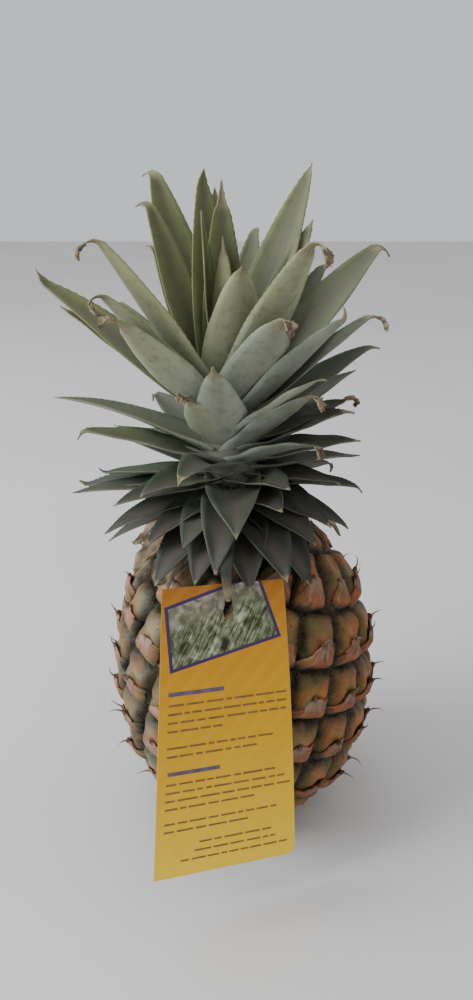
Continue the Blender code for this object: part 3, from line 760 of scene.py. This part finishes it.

# Living leaf: the face turned to the heart is dark green, flushed brown along its middle; the back has a
# grey waxy bloom and fine lines lengthways. Edges are pale and horny, and the tips are dry and tan.
# Each finish runs from dark to yellowish green up the crown: the yellow of the young leaves at the heart is
# their own, but the dark low end and the thinner bloom there are painted shade under the crown, and the right
# side is painted darker and the left lighter for the window light.
# The lines are 0.4 mm apart, the patches 14 mm across and the scuffs 4 mm.
LEAF_FINISHES = (
    ("leaf_bloomed_back", ("#3f483f", "#8e9782", "#a0a56c"), "#7c705f", 0.50, 0.86),
    ("leaf_inner_face", ("#20261e", "#3c4a31", "#6b7440"), "#4f4036", 0.60, 0.28),
    ("leaf_horny_edge", ("#2f3329", "#575b47", "#817d58"), "#61563f", 0.20, 0.10),
)
for name, (low_colour, middle_colour, high_colour), flush_colour, flush_share, bloom_share in LEAF_FINISHES:
    material, tree, shader = new_material(name)
    along_leaf, across_leaf, height_and_shade, tone, dried = (
        add_node(tree, "Attribute", output="Fac", attribute_name=number)
        for number in ("along", "across", "height_and_shade", "leaf_tone", "dried")
    )
    place = add_node(tree, "TexCoord", output="Object")
    lengthways = add_node(tree, "CombineXYZ", (across_leaf, along_leaf, tone))
    vein_place = add_node(tree, "VectorMath", (lengthways, (14, 1.2, 60)), operation="MULTIPLY")
    vein_inputs = {"Vector": vein_place, "Scale": 2.2, "Detail": 4, "Roughness": 0.6}
    veins = add_node(tree, "TexNoise", vein_inputs)
    patches = add_node(tree, "TexNoise", {"Vector": place, "Scale": 70, "Detail": 4})
    # Dark low end of the ramp: painted shade under the crown and on the right; yellowish high end: the young
    # leaves' own colour
    patchy_height_and_shade = add_node(tree, "Math", (patches, 0.5, height_and_shade), operation="MULTIPLY_ADD")
    height_and_shade_share = add_node(tree, "MapRange", (patchy_height_and_shade, 0.25, 1.25))
    green_stops = (0.1, low_colour), (0.5, middle_colour), (0.95, high_colour)
    green = add_node(tree, "ValToRGB", (height_and_shade_share,), green_stops)
    off_middle = add_node(tree, "Math", (across_leaf,), operation="ABSOLUTE")
    flush = add_node(tree, "MapRange", (off_middle, 0.75, 0.15, 0, flush_share))
    flushed = add_node(tree, "Mix", {0: flush, 6: green, 7: linear(flush_colour)}, **COLOUR_MIX)
    lined = add_node(tree, "MapRange", (veins, 0.3, 0.65, 0.45, 1))
    bloom_fades = add_node(tree, "MapRange", (along_leaf, 0.15, 0.75, bloom_share, bloom_share * 0.2))
    bloom = add_node(tree, "Math", (lined, bloom_fades), operation="MULTIPLY")
    # Less bloom on low and right-hand leaves, which is painted shade
    higher_and_lit = add_node(tree, "MapRange", (height_and_shade, 0, 0.35, 0.25, 1))
    bloom = add_node(tree, "Math", (bloom, higher_and_lit), operation="MULTIPLY")
    bloomed = add_node(tree, "Mix", {0: bloom, 6: flushed, 7: linear("#9ba395")}, **COLOUR_MIX)
    scuff_inputs = {"Vector": place, "Scale": 240, "Detail": 5, "Roughness": 0.65}
    scuffs = add_node(tree, "MapRange", (add_node(tree, "TexNoise", scuff_inputs), 0.5, 0.72, 0, 0.45))
    weathered = add_node(tree, "Mix", {0: scuffs, 6: bloomed, 7: linear("#4a4839")}, **COLOUR_MIX)
    edge = add_node(tree, "MapRange", (off_middle, 0.97, 1, 0, 0.14))
    edged = add_node(tree, "Mix", {0: edge, 6: weathered, 7: linear("#8c8262")}, **COLOUR_MIX)
    frayed = add_node(tree, "Math", (patches, 0.06, along_leaf), operation="MULTIPLY_ADD")
    into_tip = add_node(tree, "Math", (frayed, dried), operation="ADD")
    tip_share = add_node(tree, "MapRange", (into_tip, 1.01, 1.05))
    dry_stops = (0.35, "#4d4635"), (0.5, "#837b5a"), (0.68, "#b2ab8a")
    dry_colour = add_node(tree, "ValToRGB", (veins,), dry_stops)
    tipped = add_node(tree, "Mix", {0: tip_share, 6: edged, 7: dry_colour}, **COLOUR_MIX)
    gloss = add_node(tree, "MapRange", (patches, 0, 1, 0.42, 0.66))
    relief = add_node(tree, "Bump", {"Height": veins, "Strength": 0.35, "Distance": 0.0008})
    set_inputs(shader, {"Base Color": tipped, "Roughness": gloss, "Normal": relief})
    leaves.data.materials.append(material)
applied(leaves, "SOLIDIFY", thickness=LEAF_THICKNESS, offset=-1, material_offset=1, material_offset_rim=2)
bpy.ops.object.shade_smooth()
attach(leaves, "root")
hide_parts("crown")
stem.data.materials.append(leaves.data.materials[0])
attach(stem, "root")


# Dry basal leaves: the lowest leaves have withered to tan, papery scraps that lie on the fruit's shoulder.
# One of them, a narrow one at the front, goes down over the card and through its slot.
# Some leaves higher up end in a crumpled flake of the same withered skin.
HOOK_LINE = (
    (-4, -8, 151),
    (-7, -30, 155),
    (-7.5, -48, 152),
    (-7.5, -56.5, 146),
    (-7.2, -58.5, 139.5),
    (-7, -56.5, 135),
    (-6.8, -52.5, 133),
)
HOOK_WIDTHS = (8, 7, 5.4, 4.2, 2.8, 1.7, 0.4)
DRY_LEAVES = (
    (-127, 150.5, 44, -12, 40, 11, 40),
    (-158, 151, 46, -18, 30, 12, 60),
    (20, 151, 48, -16, 30, 14, 60),
    (75, 151, 50, -16, 32, 14, -30),
    (120, 151, 48, -14, 34, 13, 50),
    (165, 151, 50, -18, 30, 12, -40),
)
DRY_LEAF_THICKNESS = 0.5 * MM
SCRAP_ACROSS = 8
SCRAP_ALONG = 36

# Leaves whose tip has died back to a small crumpled flake, by azimuth and height
FLAKE_LEAVES = (
    (-157, 194),
    (-152, 189),
    (-140, 187),
    (-55, 190),
    (-38, 197),
    (-36, 176),
    (-38, 171),
    (12, 178),
    (6, 187),
    (-126, 178),
)
FLAKE_FOLDS = (-8, 34)
FLAKE_OVERLAP = 2.2 * MM
FLAKE_HALF_WIDTHS = (0.9, 1.5, 2.5, 1.8, 2.7, 2.3, 1.7, 1.3, 0.2)

scrap_blank, side_share, share = new_grid(SCRAP_ACROSS, SCRAP_ALONG)
papery = {"along": share, "across": side_share, "withered": 1}
scraps = []
for index, leaf in enumerate(DRY_LEAVES):
    azimuth, height, length, rise, droop, width, bend = leaf
    line, outward = leaf_line(azimuth, height, length, rise, droop, bend)
    crumple = np.sin(share * 23 + index) * 0.5 + np.sin(side_share * 5 + share * 9 + index)
    half_widths = width * MM / 2 * np.minimum(1, (0.9 + 0.9 * stations) * (1 - stations) ** 0.55)
    ragged = 1 + 0.12 * np.sin(share * 41 + side_share * 3 + index) * (np.abs(side_share) > 0.8)
    points = blade_points(
        line, outward, half_widths, share, side_share * ragged, 0.3, twist=0.3 - 0.6 * (index % 2)
    )
    points[:, 2] += crumple * 0.6 * MM
    scraps.append(shaped_copy(scrap_blank, f"dry_leaf_{index}", points, **papery))
flake_chance = np.random.default_rng(17)
for index, flake_leaf in enumerate(FLAKE_LEAVES):
    before_tip, leaf_tip, outward = leaf_tips[flake_leaf]
    heading = Vector(leaf_tip - before_tip).normalized()
    fold_axis = Vector(np.cross((0, 0, 1), outward)) + Vector(flake_chance.normal(0, 0.35, 3))
    flake_line = [leaf_tip - np.array(heading) * FLAKE_OVERLAP]
    for _ in FLAKE_HALF_WIDTHS[1:]:
        fold = math.radians(flake_chance.uniform(*FLAKE_FOLDS))
        heading = Matrix.Rotation(fold, 3, fold_axis.normalized()) @ heading
        flake_line.append(flake_line[-1] + np.array(heading) * flake_chance.uniform(0.7, 1.15) * MM)
    flake_half = np.array(FLAKE_HALF_WIDTHS) * flake_chance.uniform(0.85, 1.2) * MM
    points = blade_points(np.array(flake_line), outward, flake_half, share, side_share, 0.5)
    for axis in range(3):
        phase = flake_chance.uniform(0, 6, 2)
        points[:, axis] += np.sin(share * 16 + phase[0] + side_share * 4) * 0.35 * MM
        points[:, axis] += np.sin(side_share * 7 + phase[1]) * 0.25 * MM * share
    scraps.append(shaped_copy(scrap_blank, f"flake_{index}", points, **papery))
hook_at = np.linspace(0, 1, len(HOOK_LINE))
route = np.stack([np.interp(stations, hook_at, np.array(HOOK_LINE)[:, k]) for k in range(3)], -1) * MM
soft = np.array([route[max(0, k - 3) : k + 4].mean(0) for k in range(LINE_STEPS + 1)])
soft[0], soft[-1] = route[0], route[-1]
hook_half = np.interp(stations, hook_at, HOOK_WIDTHS) / 2 * MM
points = blade_points(soft, np.array((0, -1.0, 0)), hook_half, share, side_share, -0.25)
papery["withered"] = np.clip((share - 0.5) / 0.15, 0, 1)
scraps.append(shaped_copy(scrap_blank, "dry_leaf_through_card", points, **papery))
bpy.data.objects.remove(scrap_blank)
dry_leaves = joined(scraps, "dry_leaves")
applied(dry_leaves, "SOLIDIFY", thickness=DRY_LEAF_THICKNESS, offset=0)
bpy.ops.object.shade_smooth()

# Withered leaf: pinkish tan, streaked lengthways by fibres 0.3 mm apart, with brown stains of 7 mm.
dry_material, tree, shader = new_material("withered_leaf")
across_leaf, along_leaf, withered = (
    add_node(tree, "Attribute", output="Fac", attribute_name=number)
    for number in ("across", "along", "withered")
)
place = add_node(tree, "TexCoord", output="Object")
lengthways = add_node(tree, "CombineXYZ", (across_leaf, along_leaf))
fibre_place = add_node(tree, "VectorMath", (lengthways, (9, 1.5, 1)), operation="MULTIPLY")
fibre_inputs = {"Vector": fibre_place, "Scale": 2.4, "Detail": 5, "Roughness": 0.7}
fibres = add_node(tree, "TexNoise", fibre_inputs)
stains = add_node(tree, "TexNoise", {"Vector": place, "Scale": 150, "Detail": 4})
stained = add_node(tree, "Math", (fibres, stains), operation="ADD")
stained_share = add_node(tree, "MapRange", (stained, 0.7, 1.3))
dry_stops = (0.1, "#4d3e31"), (0.4, "#7f6d55"), (0.65, "#a08d71"), (0.9, "#bba88d")
dry_colour = add_node(tree, "ValToRGB", (stained_share,), dry_stops)
leaf_colour = add_node(tree, "Mix", {0: withered, 6: linear("#2b3029"), 7: dry_colour}, **COLOUR_MIX)
relief = add_node(tree, "Bump", {"Height": fibres, "Strength": 0.6, "Distance": 0.0012})
set_inputs(shader, {"Base Color": leaf_colour, "Roughness": 0.8, "Normal": relief})
dry_leaves.data.materials.append(dry_material)
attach(dry_leaves, "root")


# Card tag: a flared piece of printed card, bent over the fruit's belly, with a keyhole slot near its top.
# It was die-cut in one piece and is coated on its printed side.
TAG_TOP_WIDTH = 51 * MM
TAG_BOTTOM_WIDTH = 63 * MM
TAG_LENGTH = 124 * MM
TAG_THICKNESS = 0.5 * MM
TAG_TURN = math.radians(20)
TAG_ROLL = math.radians(-5)
TAG_TOP = np.array((-8.5, -53, 141)) * MM
TAG_BELLY = np.array((-7.5, -71.6, 84)) * MM
TAG_BOTTOM = np.array((-8, -79, 21)) * MM
TAG_CORNER = 3 * MM
SLOT_TOP_DOWN = 4.5 * MM
SLOT_LENGTH = 10.5 * MM
SLOT_ACROSS = 1.5 * MM
SLOT_SHARES = (0, 0.15, 0.4, 0.65, 0.88, 1)
SLOT_HALF_WIDTHS = (0.75, 1.5, 1.65, 2.3, 2.0, 1.0)
PICTURE_CORNERS = ((-24.9, 7.6), (1.1, 0.2), (15.9, 0.2), (23.9, 24.2), (-23.2, 34.6))
FRAME_WIDTH = 1.4
BORDER_SOFTNESS = 0.05
TAG_WIDTH_WAY = np.array((math.cos(TAG_TURN), math.sin(TAG_TURN), 0)) * math.cos(TAG_ROLL)
TAG_WIDTH_WAY[2] = math.sin(TAG_ROLL)
CARD_COLUMNS = 26
CARD_ROWS = 90
SLOT_ROWS = 14
ROWS_ABOVE_SLOT = 3


def card_points(across, down, lift):
    """Points of the card: across from its middle line, down from its top edge, lifted off its front."""
    share = (down / TAG_LENGTH)[:, None]
    rest = 1 - share
    pull = 2 * TAG_BELLY - (TAG_TOP + TAG_BOTTOM) / 2
    middle = TAG_TOP * rest * rest + pull * 2 * rest * share + TAG_BOTTOM * share * share
    ahead = (pull - TAG_TOP) * rest + (TAG_BOTTOM - pull) * share
    front = np.cross(TAG_WIDTH_WAY[None], ahead)
    front /= np.linalg.norm(front, axis=1, keepdims=True)
    front *= -np.sign((front[:, 1:2] > 0) - 0.5)
    return middle + TAG_WIDTH_WAY[None] * across[:, None] + front * lift


card, side_share, up_share = new_grid(CARD_COLUMNS, CARD_ROWS)
card.name = "card"
column = np.round((side_share + 1) / 2 * CARD_COLUMNS).astype(int)
row = np.round((1 - up_share) * CARD_ROWS).astype(int)
row_stations = np.concatenate(
    [
        np.linspace(0, SLOT_TOP_DOWN, ROWS_ABOVE_SLOT + 1),
        SLOT_TOP_DOWN + SLOT_LENGTH * np.linspace(0, 1, SLOT_ROWS + 1)[1:],
        np.linspace(SLOT_TOP_DOWN + SLOT_LENGTH, TAG_LENGTH, CARD_ROWS - SLOT_ROWS - ROWS_ABOVE_SLOT + 1)[1:],
    ]
)
down = row_stations[row]
half = (TAG_TOP_WIDTH + (TAG_BOTTOM_WIDTH - TAG_TOP_WIDTH) * down / TAG_LENGTH) / 2
slot_share = np.clip((down - SLOT_TOP_DOWN) / SLOT_LENGTH, 0, 1)
slot_half = np.interp(slot_share, SLOT_SHARES, SLOT_HALF_WIDTHS) * MM
slot_left = CARD_COLUMNS // 2 - 1
slot_right = CARD_COLUMNS // 2 + 1
worn = np.clip((down - (TAG_LENGTH - TAG_CORNER)) / TAG_CORNER, 0, 1)
right_edge = half - TAG_CORNER * (1 - np.sqrt(1 - worn**2))
left_part = -half + (half + SLOT_ACROSS - slot_half) * column / slot_left
slot_edge = SLOT_ACROSS + slot_half
right_part = slot_edge + (right_edge - slot_edge) * (column - slot_right) / (CARD_COLUMNS - slot_right)
across = np.where(column <= slot_left, left_part, np.where(column >= slot_right, right_part, SLOT_ACROSS))
set_points(card.data, card_points(across, down, TAG_THICKNESS / 2))
bpy.ops.object.mode_set(mode="EDIT")
bpy.ops.mesh.select_all(action="DESELECT")
bpy.ops.object.mode_set(mode="OBJECT")
slot_rows = (row >= ROWS_ABOVE_SLOT) & (row < ROWS_ABOVE_SLOT + SLOT_ROWS)
open_points = set(np.flatnonzero(slot_rows & (column == CARD_COLUMNS // 2)).tolist())
for vertex in card.data.vertices:
    vertex.select = vertex.index in open_points
uv_layer = card.data.uv_layers.active.data
for loop in card.data.loops:
    uv_layer[loop.index].uv = (across[loop.vertex_index] / MM, down[loop.vertex_index] / MM)
bpy.ops.object.mode_set(mode="EDIT")
bpy.ops.mesh.delete(type="VERT")
bpy.ops.mesh.select_all(action="SELECT")
bpy.ops.mesh.normals_make_consistent(inside=False)
bpy.ops.object.mode_set(mode="OBJECT")
if card.data.polygons[0].normal.y > 0:
    card.data.flip_normals()

# Coated card, printed golden yellow: more orange at the top, with broad, faint stripes tone on tone, 10 mm
# apart, and rubbed in patches of 22 mm. The back is bare, off-white board, mottled in spots of 3 mm.
card_material, tree, shader = new_material("printed_card")
card_place = add_node(tree, "UVMap", uv_map=card.data.uv_layers.active.name)
across_card = add_node(tree, "SeparateXYZ", (card_place,), output="X")
down_card = add_node(tree, "SeparateXYZ", (card_place,), output="Y")
down_share = add_node(tree, "MapRange", (down_card, 0, TAG_LENGTH / MM))
card_stops = (0, "#a3651f"), (0.2, "#c98b14"), (0.55, "#dfa90f"), (1, "#fad02c")
card_colour = add_node(tree, "ValToRGB", (down_share,), card_stops)
slant = add_node(tree, "Math", (across_card, 1.1, down_card), operation="MULTIPLY_ADD")
stripe_turn = add_node(tree, "Math", (slant, 0.62), operation="MULTIPLY")
stripe_wave = add_node(tree, "Math", (stripe_turn,), operation="SINE")
stripe = add_node(tree, "MapRange", (stripe_wave, 0.1, 0.4, 0, 0.045))
striped = add_node(tree, "Mix", {0: stripe, 6: card_colour, 7: linear("#f6d873")}, **COLOUR_MIX)
place = add_node(tree, "TexCoord", output="Object")
rubs = add_node(tree, "TexNoise", {"Vector": place, "Scale": 45, "Detail": 5})
rubbed = add_node(tree, "MapRange", (rubs, 0.5, 0.8, 0, 0.22))
worn_print = add_node(tree, "Mix", {0: rubbed, 6: striped, 7: linear("#c98a1c")}, **COLOUR_MIX)

# The framed picture: how far a spot is inside its four straight sides, then long grass under a hazy hill,
# with blades 1 mm wide and 10 mm long
inside = None
for start, end in ((0, 1), (2, 3), (3, 4), (4, 0)):
    (start_across, start_down), (end_across, end_down) = PICTURE_CORNERS[start], PICTURE_CORNERS[end]
    side_length = math.hypot(end_across - start_across, end_down - start_down)
    inward = (-(end_down - start_down) / side_length, (end_across - start_across) / side_length, 0)
    reach_in = add_node(tree, "VectorMath", (card_place, inward), output="Value", operation="DOT_PRODUCT")
    side_reach = start_across * inward[0] + start_down * inward[1]
    from_side = add_node(tree, "Math", (reach_in, side_reach), operation="SUBTRACT")
    if inside is not None:
        from_side = add_node(tree, "Math", (inside, from_side), operation="MINIMUM")
    inside = from_side
blade_slant = add_node(tree, "Math", (down_card, 0.5, across_card), operation="MULTIPLY_ADD")
blade_way = add_node(tree, "CombineXYZ", (blade_slant, down_card))
grass_place = add_node(tree, "VectorMath", (blade_way, (1.5, 0.16, 1)), operation="MULTIPLY")
grass_inputs = {"Vector": grass_place, "Scale": 0.62, "Detail": 4, "Roughness": 0.65, "Distortion": 0.9}
grass = add_node(tree, "TexNoise", grass_inputs)
clump_inputs = {"Vector": card_place, "Scale": 0.22, "Detail": 3, "Distortion": 0.8}
clumps = add_node(tree, "TexNoise", clump_inputs)
grass_light = add_node(tree, "Math", (clumps, 0.8, grass), operation="MULTIPLY_ADD")
grass_share = add_node(tree, "MapRange", (grass_light, 0.68, 1.15))
grass_stops = (0, "#232a17"), (0.3, "#4c5532"), (0.52, "#71785a"), (0.75, "#8f957c"), (1, "#c6caae")
grass_colour = add_node(tree, "ValToRGB", (grass_share,), grass_stops)
haze_stops = (0.35, "#605c4a"), (0.5, "#7f7b68"), (0.65, "#9d9a8c")
haze_colour = add_node(tree, "ValToRGB", (clumps,), haze_stops)
skyline = add_node(tree, "Math", (clumps, 9, down_card), operation="MULTIPLY_ADD")
skyline = add_node(tree, "Math", (across_card, 0.3, skyline), operation="MULTIPLY_ADD")
below_skyline = add_node(tree, "MapRange", (skyline, 13, 17))
picture = add_node(tree, "Mix", {0: below_skyline, 6: haze_colour, 7: grass_colour}, **COLOUR_MIX)
past_border = add_node(
    tree, "MapRange", (inside, FRAME_WIDTH - BORDER_SOFTNESS, FRAME_WIDTH + BORDER_SOFTNESS)
)
framed = add_node(tree, "Mix", {0: past_border, 6: linear("#432f58"), 7: picture}, **COLOUR_MIX)
in_frame = add_node(tree, "MapRange", (inside, -BORDER_SOFTNESS, BORDER_SOFTNESS))
printed = add_node(tree, "Mix", {0: in_frame, 6: worn_print, 7: framed}, **COLOUR_MIX)
grit = add_node(tree, "TexNoise", {"Vector": place, "Scale": 500, "Detail": 2})
relief = add_node(tree, "Bump", {"Height": grit, "Strength": 0.12, "Distance": 0.0003})
set_inputs(shader, {"Base Color": printed, "Roughness": 0.45, "Specular IOR Level": 0.25, "Normal": relief})
board_material = cloudy_material("bare_board", 300, 4, 0.85, (0.3, "#bab2a2"), (0.7, "#d3ccbe"))
card.data.materials.append(card_material)
card.data.materials.append(board_material)
applied(card, "SOLIDIFY", thickness=TAG_THICKNESS, offset=-1, material_offset=1)
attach(card, "root")
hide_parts("tag")


# Print on the card: two heading bars and rows of short rules, in flat ink.
# Each is a film of ink that follows the card's bend.
INK_LIFT = TAG_THICKNESS / 2 + 0.06 * MM
HEADING_THICKNESS = 1.7
RULE_THICKNESS = 0.85
DASH_LENGTHS = (2.2, 8.5)
DASH_GAPS = (0.8, 1.3)


def ink_patch(name, corners, columns, rows):
    """A film of ink between four corners of the card: top left, top right, bottom right, bottom left."""
    patch, side_share, up_share = new_grid(columns, rows)
    patch.name = name
    right = (side_share[:, None] + 1) / 2
    low = 1 - up_share[:, None]
    top_left, top_right, bottom_right, bottom_left = (np.array(corner) for corner in corners)
    top = top_left * (1 - right) + top_right * right
    bottom = bottom_left * (1 - right) + bottom_right * right
    flat = (top * (1 - low) + bottom * low) * MM
    set_points(patch.data, card_points(flat[:, 0], flat[:, 1], INK_LIFT))
    if patch.data.polygons[0].normal.y > 0:
        patch.data.flip_normals()
    return patch


def bar_between(name, start, end, thickness):
    """A straight bar of ink from one spot of the card to another, in millimetres."""
    start, end = np.array(start, float), np.array(end, float)
    along_bar = (end - start) / np.linalg.norm(end - start)
    beside = np.array((-along_bar[1], along_bar[0])) * thickness / 2
    steps = max(2, int(np.linalg.norm(end - start) / 2))
    return ink_patch(name, (start - beside, end - beside, end + beside, start + beside), steps, 2)


# Flat purple and brown ink, a little uneven where it sank into the card, in spots of 3 mm.
purple_ink = cloudy_material("purple_ink", 350, 2, 0.4, (0.35, "#54415a"), (0.7, "#6b5870"))
brown_ink = cloudy_material("brown_ink", 350, 2, 0.4, (0.35, "#75501f"), (0.7, "#8f6626"))
purple_parts = [
    bar_between("heading_one", (-24, 43.2), (-1, 43.2), HEADING_THICKNESS),
    bar_between("heading_two", (-25, 76.6), (-3, 76.6), HEADING_THICKNESS),
]
purple_piece = joined(purple_parts, "purple_print")
purple_piece.data.materials.append(purple_ink)
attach(purple_piece, "root")

# Rules: rows of short dashes, ranged left, and right in the last three
RULE_ROWS = (
    (47.8, -24, 26),
    (51.4, -24.3, 26),
    (55.0, -24.5, 27),
    (58.6, -24.7, -2),
    (65.6, -25, 20),
    (69.2, -25.2, 14),
    (81.2, -25.8, 24),
    (84.8, -26, 26),
    (88.4, -26.2, 28),
    (92.0, -26.4, 12),
    (98.6, -26.7, 22),
    (102.2, -27, 10),
    (109.0, -12, 20),
    (112.8, -14, 22),
    (116.6, -20, 28),
)
chance = random.Random(5)
rule_parts = []
for number, (rule_down, rule_left, rule_right) in enumerate(RULE_ROWS):
    at_across = rule_left
    while at_across < rule_right - 2:
        dash = min(chance.uniform(*DASH_LENGTHS), rule_right - at_across)
        dash_ends = (at_across, rule_down), (at_across + dash, rule_down)
        rule_parts.append(bar_between(f"rule_{number}", *dash_ends, RULE_THICKNESS))
        at_across += dash + chance.uniform(*DASH_GAPS)
rule_piece = joined(rule_parts, "brown_print")
rule_piece.data.materials.append(brown_ink)
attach(rule_piece, "root")


# Table top and light: a matt white table, soft daylight from the left and a warmer glow from the right.
bpy.ops.object.select_all(action="DESELECT")
bpy.ops.mesh.primitive_plane_add(size=6, location=(0, 0, -0.0002))
table = bpy.context.active_object
table.name = "table_top"
bpy.ops.object.transform_apply(location=True, rotation=True, scale=True)
table_material = cloudy_material("white_table", 3, 2, 0.55, (0.3, "#cfcdca"), (0.7, "#d6d4d1"))
table.data.materials.append(table_material)

world = bpy.data.worlds.new("room")
bpy.context.scene.world = world
world.use_nodes = True
set_inputs(world.node_tree.nodes["Background"], {"Color": linear("#dbdde0"), "Strength": 1.01})
LIT_SPOT = Vector((0, 0, 0.15))
for name, at, size, power, code in (
    ("window", (-1.2, -0.3, 1.1), 1.0, 24, "#f5f8ff"),
    ("sky_glow", (-0.5, 0.4, 1.5), 1.2, 7, "#f5f8ff"),
    ("room_glow", (1.1, -0.5, 0.9), 0.9, 0.7, "#ffe9d2"),
):
    lamp_data = bpy.data.lights.new(name, "AREA")
    lamp_data.shape = "DISK"
    lamp_data.size = size
    lamp_data.energy = power
    lamp_data.color = linear(code)[:3]
    lamp = bpy.data.objects.new(name, lamp_data)
    bpy.context.scene.collection.objects.link(lamp)
    lamp.location = at
    lamp.rotation_euler = (LIT_SPOT - Vector(at)).to_track_quat("-Z", "Y").to_euler()
